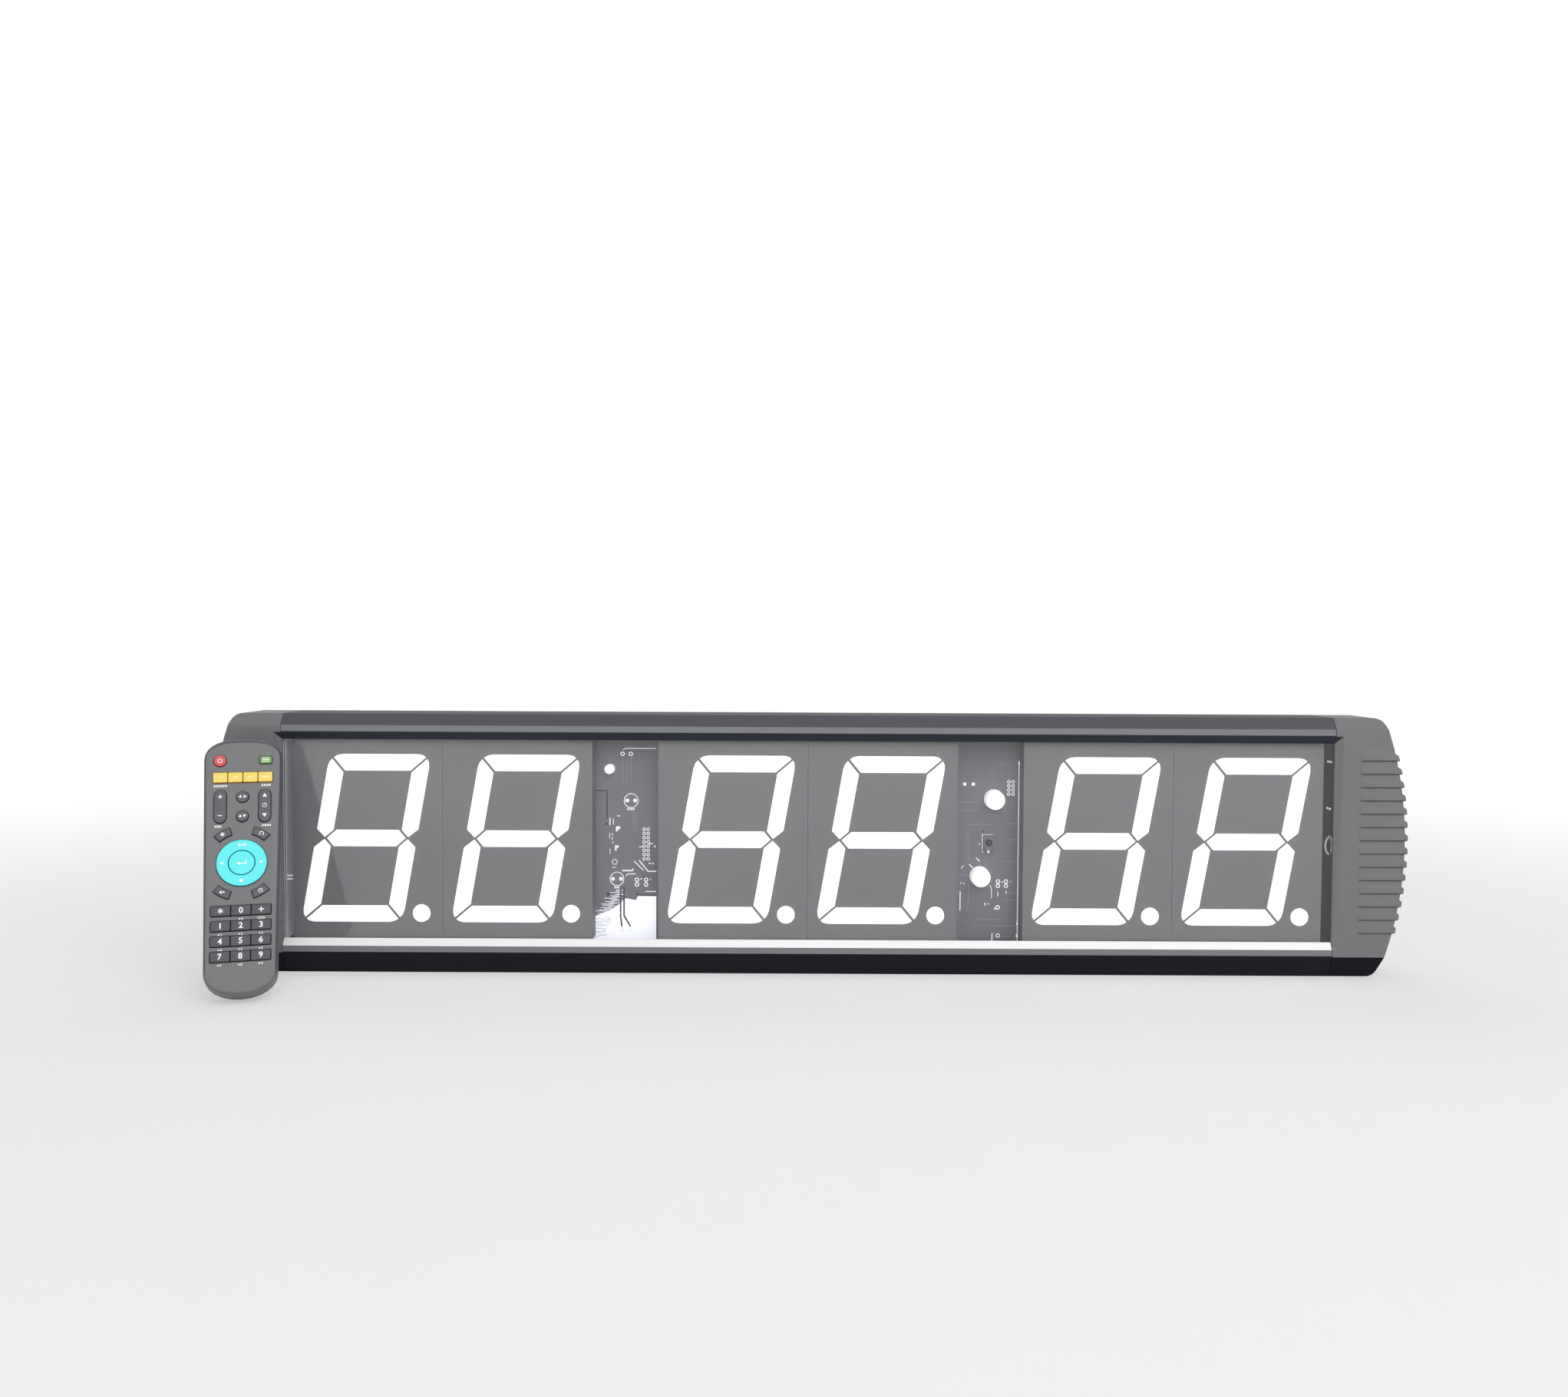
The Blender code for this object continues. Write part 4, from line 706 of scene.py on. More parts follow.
def loft(bm, rings, around=False):
    """Joins neighbouring rings of vertices with faces; a ring of one vertex is a tip.

    The first and last ring are closed, or joined to each other if the rings run around.
    """
    for low, high in zip(rings, rings[1:] + rings[:1] if around else rings[1:]):
        for i in range(len(low)):
            j = (i + 1) % len(low)
            if len(high) == 1:
                bm.faces.new((low[i], low[j], high[0]))
            else:
                bm.faces.new((low[i], low[j], high[j], high[i]))
    for end in () if around else (rings[0], rings[-1]):
        if len(end) > 2:
            bm.faces.new(end)


def skin(bm, rings):
    """Skins closed rings of (outline, depth) pairs."""
    loft(bm, [[bm.verts.new((point.x, depth, point.y)) for point in loop]
              for loop, depth in rings])


def plates(bm, outlines, front, back):
    """Flat outlines, given in millimetres, as plates between two depths in metres."""
    for outline in outlines:
        loop = [Vector(point) * MM for point in outline]
        skin(bm, [(loop, back), (loop, front)])


def turns(steps):
    """Cosine and sine of the angles that part a full turn into equal steps."""
    angles = [2 * math.pi * step / steps for step in range(steps)]
    return [(math.cos(angle), math.sin(angle)) for angle in angles]


def revolve(bm, profile, centre, steps):
    """Turns a closed profile of (radius, depth) pairs about the inward axis through a centre."""
    loft(bm, [[bm.verts.new((centre[0] + radius * cosine, depth, centre[1] + radius * sine))
               for radius, depth in profile] for cosine, sine in turns(steps)], True)


def tube(bm, path, radius, sides):
    """A round rod with capped ends along a path of points."""
    rings = []
    for i, point in enumerate(path):
        run = (path[min(i + 1, len(path) - 1)] - path[max(i - 1, 0)]).normalized()
        first = run.cross(Vector((0.0, 1.0, 0.0))).normalized()
        second = run.cross(first)
        rings.append([bm.verts.new(point + (first * cosine + second * sine) * radius)
                      for cosine, sine in turns(sides)])
    loft(bm, rings)


def quarter(radius, steps):
    """Inset and depth pairs of a quarter round, from the side up to the top."""
    turn = math.pi / 2 / steps
    return [(radius * (1 - math.cos(turn * i)), radius * (1 - math.sin(turn * i)))
            for i in range(steps + 1)]


def welded(node):
    """A copy of a node's mesh with its split corners joined."""
    bm = bmesh.new()
    bm.from_mesh(NODES[node].data)
    bmesh.ops.remove_doubles(bm, verts=bm.verts, dist=1e-6)
    return bm


def front_loops(node, axes):
    """Outlines of a node's foremost flat faces in the given axes, in metres."""
    bm = welded(node)
    bm.transform(axes.inverted())
    nearest = min(vertex.co.y for vertex in bm.verts)
    front = {face for face in bm.faces
             if max(vertex.co.y for vertex in face.verts) < nearest + 2e-5}
    links = {}
    for edge in bm.edges:
        if sum(face in front for face in edge.link_faces) == 1:
            first, second = edge.verts
            links.setdefault(first, []).append(second)
            links.setdefault(second, []).append(first)
    loops = []
    while links:
        start = next(iter(links))
        loop = [start]
        here = start
        while here in links:
            following = [vertex for vertex in links.pop(here) if vertex in links]
            if not following:
                break
            here = following[0]
            loop.append(here)
        points = [Vector((vertex.co.x, vertex.co.z)) for vertex in loop]
        area = sum(a.x * b.y - b.x * a.y for a, b in zip(points, points[1:] + points[:1]))
        loops.append(points if area > 0 else points[::-1])
    bm.free()
    return loops, nearest


def linked(name, data):
    """A new object of the scene with its data."""
    item = bpy.data.objects.new(name, data)
    bpy.context.scene.collection.objects.link(item)
    return item


def new_piece(name, bm, material, body, axes=WORLD, angle=35.0):
    """A named piece made from a mesh in the given axes, riding on a body of the frame."""
    bmesh.ops.recalc_face_normals(bm, faces=bm.faces)
    mesh = bpy.data.meshes.new(name)
    bm.to_mesh(mesh)
    bm.free()
    mesh.shade_smooth()
    mesh.set_sharp_from_angle(angle=math.radians(angle))
    mesh.materials.append(material)
    piece = linked(name, mesh)
    piece.matrix_world = axes
    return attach(piece, body)


def carved(bm, cutter, operation="DIFFERENCE"):
    """The first mesh with the second one cut out of it, or kept only within it."""
    solids = []
    for part in (bm, cutter):
        bmesh.ops.recalc_face_normals(part, faces=part.faces)
        mesh = bpy.data.meshes.new("carving")
        part.to_mesh(mesh)
        part.free()
        solids.append(linked("carving", mesh))
    modifier = solids[0].modifiers.new("cut", "BOOLEAN")
    modifier.operation = operation
    modifier.object = solids[1]
    bpy.context.view_layer.update()
    depsgraph = bpy.context.evaluated_depsgraph_get()
    result = bmesh.new()
    result.from_mesh(solids[0].evaluated_get(depsgraph).to_mesh())
    for solid in solids:
        bpy.data.objects.remove(solid, do_unlink=True)
    return result


def dress(node, material):
    """Gives a node its material."""
    mesh = NODES[node].data
    mesh.materials.clear()
    mesh.materials.append(material)


# Marks: each function gives outlines in millimetres about a mark's own middle

def box_mark(x, z, width, height):
    half_x = width / 2
    half_z = height / 2
    return [[(x - half_x, z - half_z), (x + half_x, z - half_z), (x + half_x, z + half_z),
             (x - half_x, z + half_z)]]


def disc_mark(x, z, radius, steps=20):
    return [[(x + radius * cosine, z + radius * sine) for cosine, sine in turns(steps)]]


def band_mark(x, z, radius, width, start, end, steps=18):
    """A curved line: part of a ring between two angles in degrees."""
    sweep = [math.radians(start + (end - start) * i / steps) for i in range(steps + 1)]
    outer = [(x + radius * math.cos(a), z + radius * math.sin(a)) for a in sweep]
    inner = [(x + (radius - width) * math.cos(a), z + (radius - width) * math.sin(a))
             for a in sweep]
    return [outer + inner[::-1]]


def ring_mark(x, z, outer, inner, steps=12):
    """A flat ring, as two halves."""
    return (band_mark(x, z, outer, outer - inner, 0, 180, steps)
            + band_mark(x, z, outer, outer - inner, 180, 360, steps))


def wedge_mark(x, z, reach, turn):
    """A triangle that points to an angle in degrees."""
    corners = []
    for step in (0, 120, 240):
        angle = math.radians(turn + step)
        corners.append((x + reach * math.cos(angle), z + reach * math.sin(angle)))
    return [corners]


def line_mark(points, width):
    """A line of even width through the points, mitred at its bends."""
    centre = [Vector(point) for point in points]
    left = []
    right = []
    for i, point in enumerate(centre):
        before = (point - centre[i - 1]).normalized() if i else None
        after = (centre[i + 1] - point).normalized() if i + 1 < len(centre) else None
        before = before or after
        after = after or before
        normal = Vector((-before.y, before.x))
        bisector = (normal + Vector((-after.y, after.x))).normalized()
        reach = bisector * (width / 2 / max(bisector.dot(normal), 0.5))
        left.append(tuple(point + reach))
        right.append(tuple(point - reach))
    return [right + left[::-1]]


def star_mark(x, z, reach, width):
    """Three crossed bars, as on a telephone's star key."""
    marks = []
    for turn in (30, 90, 150):
        angle = math.radians(turn)
        run = Vector((math.cos(angle), math.sin(angle))) * reach
        marks += line_mark([(x - run.x, z - run.y), (x + run.x, z + run.y)], width)
    return marks


def plus_mark(x, z, reach, width):
    half = width / 2
    return [[(x - reach, z - half), (x - half, z - half), (x - half, z - reach),
             (x + half, z - reach), (x + half, z - half), (x + reach, z - half),
             (x + reach, z + half), (x + half, z + half), (x + half, z + reach),
             (x - half, z + reach), (x - half, z + half), (x - reach, z + half)]]


def clock_mark(x, z, radius):
    hands = [(x, z + radius * 0.6), (x, z), (x + radius * 0.45, z)]
    return ring_mark(x, z, radius, radius - 0.28, 18) + line_mark(hands, 0.24)


def speaker_mark(x, z):
    """A loudspeaker with a cross beside it."""
    horn = [(x - 1.3, z - 0.4), (x - 0.8, z - 0.4), (x - 0.1, z - 1.05), (x - 0.1, z + 1.05),
            (x - 0.8, z + 0.4), (x - 1.3, z + 0.4)]
    return ([horn] + line_mark([(x + 0.35, z - 0.5), (x + 1.35, z + 0.5)], 0.3)
            + line_mark([(x + 0.35, z + 0.5), (x + 1.35, z - 0.5)], 0.3))


def dashes(x, z, width, count):
    """A row of short upright dashes."""
    pitch = width / count
    marks = []
    for i in range(count):
        marks += box_mark(x + (i - (count - 1) / 2) * pitch, z, pitch * 0.66, 1.15)
    return marks


def number_mesh(bm, text, x, z, height, front, back):
    """Adds digits in the built-in face, thickened, as a plate between two depths."""
    curve = bpy.data.curves.new("digits", "FONT")
    curve.body = text
    curve.size = 1.0
    curve.offset = 0.022
    curve.resolution_u = 5
    curve.extrude = 0.5
    item = linked("digits", curve)
    bpy.context.view_layer.update()
    depsgraph = bpy.context.evaluated_depsgraph_get()
    mesh = bpy.data.meshes.new_from_object(item.evaluated_get(depsgraph))
    bpy.data.objects.remove(item, do_unlink=True)
    low, high = extent([vertex.co for vertex in mesh.vertices])
    share = height * MM / (high.y - low.y)
    for vertex in mesh.vertices:
        across, up, depth = vertex.co - (low + high) / 2
        vertex.co = (across * share + x * MM, front if depth > 0 else back, up * share + z * MM)
    bm.from_mesh(mesh)


# Operators

class TIMER_OT_case(bpy.types.Operator):
    """Finish the extruded case"""
    bl_idname = "timer.case"
    bl_label = "Case"

    def execute(self, context):
        dress("case_extrusion", finish(anodised_aluminium))
        return {"FINISHED"}


class TIMER_OT_caps(bpy.types.Operator):
    """Finish the end caps and make their cross-headed screws"""
    bl_idname = "timer.caps"
    bl_label = "End caps and screws"

    def execute(self, context):
        for side in ("left", "right"):
            node = "end_cap_" + side
            loops, front = front_loops(node, WORLD)
            body = new_piece("cap_body_" + side, self.trimmed(node, front + size("rib_front")),
                             finish(textured_abs), "timer", WORLD, 30.0)
            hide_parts(node)
            bm = bmesh.new()
            for loop in loops:
                self.add_rib(bm, loop, front, 1 if side == "right" else -1)
            ribs = new_piece("cap_ribs_" + side, bm, finish(textured_abs), "timer", WORLD, 30.0)
            for level in ("upper", "lower"):
                self.make_screw(side, level)
        return {"FINISHED"}

    def trimmed(self, node, front):
        """The node's body without its ribs: all of it within the outline of its back."""
        behind = axes_from((-1, 0, 0), (0, -1, 0))
        loops, back = front_loops(node, behind)
        widest = max(loops, key=height_of)
        outline = [Vector((-point.x, point.y)) for point in offset(widest, 0.02 * MM)][::-1]
        tool = bmesh.new()
        skin(tool, [(outline, 1.0 * MM - back), (outline, front + 0.01 * MM)])
        return carved(welded(node), tool, "INTERSECT")

    def add_rib(self, bm, loop, front, outward):
        """One finger rib, like a shingle: a sharp lower edge under a face that slopes back.

        At the side it stands out by its full height and rounds over at the top.
        """
        low = extent(loop)[0].y
        high = extent(loop)[1].y
        start = min(abs(point.x) for point in loop)
        edge = [max(abs(p.x) for p in loop if abs(p.y - end) < 0.4 * MM) for end in (low, high)]
        face = front + size("rib_front")
        wall = 1.2 * MM
        back = 17.0 * MM
        corner_round = 1.1 * MM
        rings = []
        # Height in millimetres, and the shares of the rib's two heights that it has there
        for rise, ahead, aside in ((0.0, 0.35, 0.8), (0.45, 0.95, 1.0), (0.7, 1.0, 1.0),
                                   (2.7, 0.7, 1.0), (3.4, 0.6, 0.88), (3.85, 0.53, 0.62),
                                   (4.15, 0.49, 0.3), (4.35, 0.46, -0.12), (7.5, -0.06, -0.12)):
            share = min(rise * MM / (high - low), 1.0)
            side = edge[0] + (edge[1] - edge[0]) * share - size("rib_side") * (1 - aside)
            ahead = face - size("rib_front") * ahead
            corner = [(side - inset, ahead + depth) for inset, depth in quarter(corner_round, 4)]
            inside = edge[0] + (edge[1] - edge[0]) * share - size("rib_side") - wall
            ring = [(start, face + wall), (start, face + 0.02 * MM)]
            ring += [(start + 1.8 * MM, ahead)] + corner[::-1]
            ring += [(side, back), (inside, back), (inside, face + wall)]
            rings.append([bm.verts.new((x * outward, y, low + rise * MM)) for x, y in ring])
        loft(bm, rings)

    def make_screw(self, side, level):
        """A domed pan head with a cross recess on a threaded shank, facing out of the cap."""
        node = "cap_screw_%s_%s" % (side, level)
        outward = 1 if side == "right" else -1
        axes = axes_from((0, outward, 0), (-outward, 0, 0))
        low, high = local_box(node, axes)
        centre = flat_middle(low, high)
        head = (high.x - low.x) / 2
        shank = head * 0.36
        under = low.y + 2.4 * MM
        # The domed head, the thread as eleven ridges, and a blunt point
        profile = [(AXIS, low.y), (head * 0.45, low.y + 0.08 * MM),
                   (head * 0.8, low.y + 0.42 * MM), (head, low.y + 1.1 * MM), (head, under),
                   (shank, under)]
        for turn in range(11):
            start = under + (0.8 + turn * 1.05) * MM
            profile += [(shank, start), (shank * 0.78, start + 0.3 * MM),
                        (shank, start + 0.6 * MM)]
        profile += [(shank * 0.5, high.y - 0.6 * MM), (AXIS, high.y)]
        bm = bmesh.new()
        revolve(bm, profile, centre, 28)
        cutter = bmesh.new()
        cross = [Vector(point) * MM + Vector(centre) for point in plus_mark(0, 0, 1.75, 0.85)[0]]
        skin(cutter, [(scaled(cross, 0.5), low.y + 1.5 * MM), (cross, low.y - 0.5 * MM)])
        screw = new_piece("screw_%s_%s" % (side, level), carved(bm, cutter),
                          finish(zinc_plated_steel), "timer", axes)
        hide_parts(node)


class TIMER_OT_window(bpy.types.Operator):
    """Make the front window clear"""
    bl_idname = "timer.window"
    bl_label = "Window"

    def execute(self, context):
        dress("front_window", finish(clear_acrylic))
        return {"FINISHED"}


class TIMER_OT_digits(bpy.types.Operator):
    """Finish the six modules and make the strokes of their digits"""
    bl_idname = "timer.digits"
    bl_label = "Digits"

    def execute(self, context):
        for number in range(1, 7):
            dress("digit_shell_%d" % number, finish(printed_module))
            fill = "digit_fill_%d" % number
            loops, front = front_loops(fill, WORLD)
            bm = bmesh.new()
            for loop in loops:
                outline = offset(loop, -size("stroke_growth"))
                face = front - size("stroke_rise")
                rings = [(outline, front + 3.0 * MM)]
                for inset, depth in quarter(size("stroke_round"), 2):
                    rings.append((offset(outline, inset), face + depth))
                skin(bm, rings)
            strokes = new_piece("strokes_%d" % number, bm, finish(milky_resin), "timer")
            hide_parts(fill)
        self.make_seams()
        return {"FINISHED"}

    def make_seams(self):
        """A thin pale line along the edges of two neighbouring modules."""
        bm = bmesh.new()
        for number in (1, 3, 5):
            low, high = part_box("digit_shell_%d" % number)
            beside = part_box("digit_shell_%d" % (number + 1))[0]
            middle = (high.x + beside.x) / 2 / MM
            for side in (-1, 1):
                strip = box_mark(middle + side * 0.3, (low.z + high.z) / 2 / MM, 0.22,
                                 (high.z - low.z) / MM - 3.0)
                plates(bm, strip, low.y - 0.03 * MM, low.y + 0.3 * MM)
        seams = new_piece("module_seams", bm, finish(epoxy_ink_worn), "timer")


class TIMER_OT_board(bpy.types.Operator):
    """Finish the display board and print its tracks, pads and legend"""
    bl_idname = "timer.board"
    bl_label = "Display board"

    def execute(self, context):
        dress("display_board", finish(solder_mask, "board"))
        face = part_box("display_board")[0].y
        layers = (("board_tracks", masked_copper, self.tracks(), 0.4),
                  ("board_plane", levelled_tin, self.plane(), 0.5),
                  ("board_gaps", bare_gap, self.gaps(), 0.8),
                  ("board_pads", hot_tin, self.pads(), 1.0),
                  ("board_legend", epoxy_ink, self.legend(), 0.9))
        for name, material, marks, share in layers:
            bm = bmesh.new()
            plates(bm, marks, face - size("board_print") * share, face + 0.1 * MM)
            new_piece(name, bm, finish(material), "timer")
        return {"FINISHED"}

    def tracks(self):
        """Fine copper tracks under the mask, in both gaps between the digits."""
        marks = []
        for shift in range(3):
            for x, low, high in ((-112.8 + shift * 2.5, 112.0, 129.0),
                                 (-106.8 + shift * 1.3, 84.0, 95.5)):
                marks += line_mark([(x, high), (x, low)], 0.3)
        for start, end, z in ((91.0, 105.4, 102.7), (98.9, 112.4, 88.9), (114.8, 123.0, 126.3),
                              (121.8, 129.4, 79.7), (120.6, 128.8, 89.7), (119.4, 129.4, 66.4),
                              (91.2, 104.0, 97.5), (104.5, 118.0, 30.5), (100.0, 128.0, 26.5),
                              (121.5, 129.4, 47.0), (120.0, 129.0, 42.5), (91.2, 101.0, 58.0)):
            marks += line_mark([(start, z), (end, z)], 0.35)
        for x, low, high in ((97.4, 64.0, 88.0), (99.0, 67.0, 88.9), (121.0, 92.0, 104.0),
                             (119.2, 96.0, 106.0), (99.0, 38.0, 54.0), (112.6, 116.0, 123.0)):
            marks += line_mark([(x, low), (x, high)], 0.3)
        return marks

    def plane(self):
        """Painted glare at the foot of the left gap, feathered into streaks."""
        marks = [[(-132.0, 17.0), (-92.4, 17.0), (-92.4, 43.9), (-103.6, 43.9), (-104.8, 41.3),
                  (-111.0, 42.6), (-115.4, 38.6), (-121.0, 34.8), (-127.0, 32.6),
                  (-132.0, 30.4)]]
        for row in range(24):
            swing = math.sin(row * 2.4) + 0.6 * math.sin(row * 5.1)
            z = 47.6 - row * 0.72
            start = -117.0 - row * 0.55 + swing * 2.4
            reach = 4.5 + row * 0.25 + 1.8 * math.sin(row * 3.7)
            marks += box_mark(start + reach / 2, z, reach, 0.28)
        return marks

    def gaps(self):
        """Dark gaps in the copper beside the power tracks, and dark streaks that break up the
        painted glare.
        """
        marks = line_mark([(-114.2, 49.5), (-114.2, 31.2), (-113.4, 25.2)], 1.0)
        marks += line_mark([(-112.1, 49.5), (-112.1, 31.8), (-108.1, 25.2)], 1.0)
        marks += line_mark([(-132.0, 108.8), (-122.5, 108.8), (-122.5, 91.5)], 0.8)
        marks += line_mark([(-104.2, 47.0), (-104.2, 44.8), (-92.4, 44.4)], 0.7)
        marks += disc_mark(-121.8, 45.1, 1.2) + disc_mark(-122.9, 88.3, 0.8)
        marks += disc_mark(107.4, 84.9, 0.6)
        for row in range(17):
            swing = math.sin(row * 1.9) + 0.5 * math.sin(row * 4.3)
            reach = 5.5 + 3.5 * math.sin(row * 2.7)
            marks += box_mark(-126.5 + swing * 2.6, 32.4 - row * 0.86, reach, 0.2)
        return marks

    def pads(self):
        """Tinned pads: rings round bare holes, and filled ones."""
        marks = []
        for x, z in ((-113.0, 131.3), (-108.0, 131.3), (-113.4, 23.3), (-108.4, 23.4),
                     (-131.4, 73.5), (-104.2, 54.0), (-104.2, 51.1), (-98.6, 54.0),
                     (-98.6, 51.1), (116.9, 54.0), (116.9, 51.3), (121.8, 54.0), (121.8, 51.3),
                     (116.9, 38.0), (117.2, 20.6)):
            marks += ring_mark(x, z, 1.35, 0.75)
        for row in range(8):
            for x in (-99.8, -97.3):
                marks += ring_mark(x, 85.1 - row * 2.6, 1.05, 0.6)
        for row in range(4):
            for x in (122.9, 125.6):
                marks += ring_mark(x, 115.3 - row * 2.54, 1.05, 0.6)
        for x, z, radius in ((96.0, 113.7, 1.1), (101.2, 113.7, 1.1), (-110.1, 102.7, 1.2),
                             (-105.4, 102.7, 1.2), (-118.9, 54.5, 1.2), (-114.0, 54.5, 1.2),
                             (-131.4, 73.5, 0.5), (110.9, 72.3, 0.95), (105.4, 76.9, 0.5),
                             (107.4, 72.2, 0.45), (-93.3, 74.6, 0.6), (-121.8, 29.3, 2.4)):
            marks += disc_mark(x, z, radius)
        return marks

    def legend(self):
        """White outlines of the parts, short bars beside them, and bright tracks."""
        marks = ring_mark(-107.8, 102.6, 4.5, 4.05) + ring_mark(-116.4, 54.5, 4.4, 3.95)
        marks += ring_mark(-117.8, 64.9, 1.7, 1.3)
        for points, width in (
                ([(-113.0, 133.8), (-111.3, 134.6), (-92.6, 134.6)], 0.5),
                ([(-113.3, 59.6), (-107.1, 59.6), (-106.5, 60.7)], 0.8),
                ([(-111.0, 56.4), (-109.7, 57.6), (-105.0, 57.6)], 0.6),
                ([(-106.0, 65.5), (-100.3, 59.9)], 0.55),
                ([(-103.0, 66.1), (-97.4, 59.2), (-92.4, 59.2)], 0.7),
                ([(-98.9, 46.8), (-92.4, 46.8)], 0.6),
                ([(107.1, 73.7), (107.1, 82.7), (113.3, 82.7), (113.3, 79.0)], 0.5),
                ([(103.3, 68.4), (105.6, 66.3)], 0.6), ([(99.2, 64.5), (101.3, 62.3)], 0.6),
                ([(112.0, 51.5), (113.0, 49.6), (113.0, 43.6)], 0.4),
                ([(93.8, 47.7), (93.8, 35.9)], 0.6), ([(113.6, 22.1), (113.6, 16.8)], 0.7),
                ([(116.9, 47.7), (116.9, 44.8)], 0.5), ([(122.0, 48.3), (122.0, 46.2)], 0.5),
                ([(129.05, 17.2), (129.05, 128.0)], 0.55)):
            marks += line_mark(points, width)
        for x, z, width, height in (
                (-120.7, 89.7, 0.7, 4.4), (-118.6, 89.7, 0.4, 3.8), (-115.8, 85.9, 2.6, 1.8),
                (-116.6, 84.4, 1.2, 1.4), (-115.4, 93.2, 2.0, 0.5), (-119.2, 82.0, 0.5, 1.4),
                (-119.4, 79.4, 0.5, 1.6), (-119.0, 76.8, 0.5, 1.2), (-120.9, 81.0, 0.4, 3.6),
                (-116.6, 74.3, 2.2, 1.6), (-117.2, 72.6, 1.1, 1.6), (-118.1, 61.6, 2.4, 0.4),
                (-120.6, 71.4, 0.4, 3.4), (-101.5, 74.3, 2.8, 0.6), (-95.6, 76.3, 2.6, 0.6),
                (-96.4, 64.1, 1.4, 0.8), (-94.4, 64.1, 1.0, 0.8), (-101.6, 54.6, 0.8, 1.0),
                (-96.0, 54.4, 0.7, 0.9), (112.4, 109.7, 0.8, 0.8), (113.8, 109.7, 0.8, 0.8),
                (119.4, 53.6, 0.8, 0.8), (124.7, 53.9, 0.6, 0.7), (109.1, 40.0, 0.8, 1.6),
                (111.2, 40.1, 0.6, 0.9), (115.2, 37.2, 0.8, 1.2), (94.2, 52.9, 0.8, 0.6),
                (96.2, 52.5, 0.7, 0.6), (95.4, 63.4, 1.0, 0.5), (94.6, 62.2, 0.5, 0.9),
                (129.2, 126.5, 0.9, 1.4), (128.8, 28.0, 0.9, 1.2), (128.6, 20.6, 0.8, 1.8)):
            marks += box_mark(x, z, width, height)
        for x, z, count in ((-108.0, 97.4, 4), (-116.4, 49.2, 3)):
            for i in range(count):
                marks += box_mark(x + (i - (count - 1) / 2) * 1.2, z, 0.8, 1.2)
        return marks


class TIMER_OT_strips(bpy.types.Operator):
    """Make what shows beside the first and the last digit: a liner, wires, beads and a loop"""
    bl_idname = "timer.strips"
    bl_label = "End strips"

    def execute(self, context):
        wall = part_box("end_cap_right")[0].x
        bm = bmesh.new()
        path = []
        steps = 24
        for step in range(steps + 1):
            angle = math.radians(100 + 160 * step / steps)
            path.append(Vector((wall / MM + 1.0 + 3.3 * math.cos(angle), -12.4 + step / steps,
                                79.0 + 5.6 * math.sin(angle))) * MM)
        tube(bm, path, 0.6 * MM, 10)
        loop = new_piece("lead_loop", bm, finish(pvc_lead), "timer")
        bm = bmesh.new()
        for z in (129.3, 101.1):
            for y in (-12.0, -8.0):
                place = Matrix.Translation((wall, y * MM, z * MM))
                bmesh.ops.create_icosphere(bm, subdivisions=2, radius=0.75 * MM, matrix=place)
        beads = new_piece("solder_beads", bm, finish(hot_tin), "timer", WORLD, 60.0)
        self.left_end()
        return {"FINISHED"}

    def left_end(self):
        """The pale liner between the first digit and the cap, painted light on that shaded strip,
        and two short bare wires on it.
        """
        low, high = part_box("digit_shell_1")
        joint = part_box("end_cap_left")[1].x / MM
        rise = (high.z - low.z) / MM - 0.6
        bm = bmesh.new()
        plates(bm, box_mark(joint + 0.9, (low.z + high.z) / 2 / MM, 0.8, rise), low.y, high.y)
        liner = new_piece("end_liner", bm, finish(lit_liner), "timer")
        bm = bmesh.new()
        for z in (58.1, 56.05):
            path = [Vector((joint + across, low.y / MM + 0.7, z)) * MM for across in (1.2, 4.6)]
            tube(bm, path, 0.4 * MM, 10)
        wires = new_piece("end_wires", bm, finish(hot_tin), "timer", WORLD, 60.0)


class TIMER_OT_lamps(bpy.types.Operator):
    """Finish the colon, the status lamp, the infrared receiver and the power inlet"""
    bl_idname = "timer.lamps"
    bl_label = "Lamps, receiver and inlet"

    def execute(self, context):
        for node in ("colon_lamp_upper", "colon_lamp_lower", "status_lamp"):
            self.make_lamp(node)
        dress("ir_receiver", finish(filter_resin))
        dress("dc_jack", finish(moulded_nylon))
        return {"FINISHED"}

    def make_lamp(self, node):
        """A round lamp with a moulded foot flange and a softly domed front."""
        low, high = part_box(node)
        radius = (high.x - low.x) / 2
        body = radius * 0.97
        dome = 0.25 * MM
        profile = [(AXIS, high.y), (radius, high.y), (radius, high.y - 0.8 * MM),
                   (body, high.y - 1.0 * MM)]
        for inset, depth in quarter(0.5 * MM, 3):
            profile.append((body - inset, low.y + dome + depth))
        for share in (0.6, 0.3):
            profile.append((radius * share, low.y + dome * share * share))
        profile.append((AXIS, low.y))
        bm = bmesh.new()
        revolve(bm, profile, flat_middle(low, high), 40)
        lamp = new_piece(node.replace("_lamp", "_dome"), bm, finish(milky_resin), "timer")
        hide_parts(node)


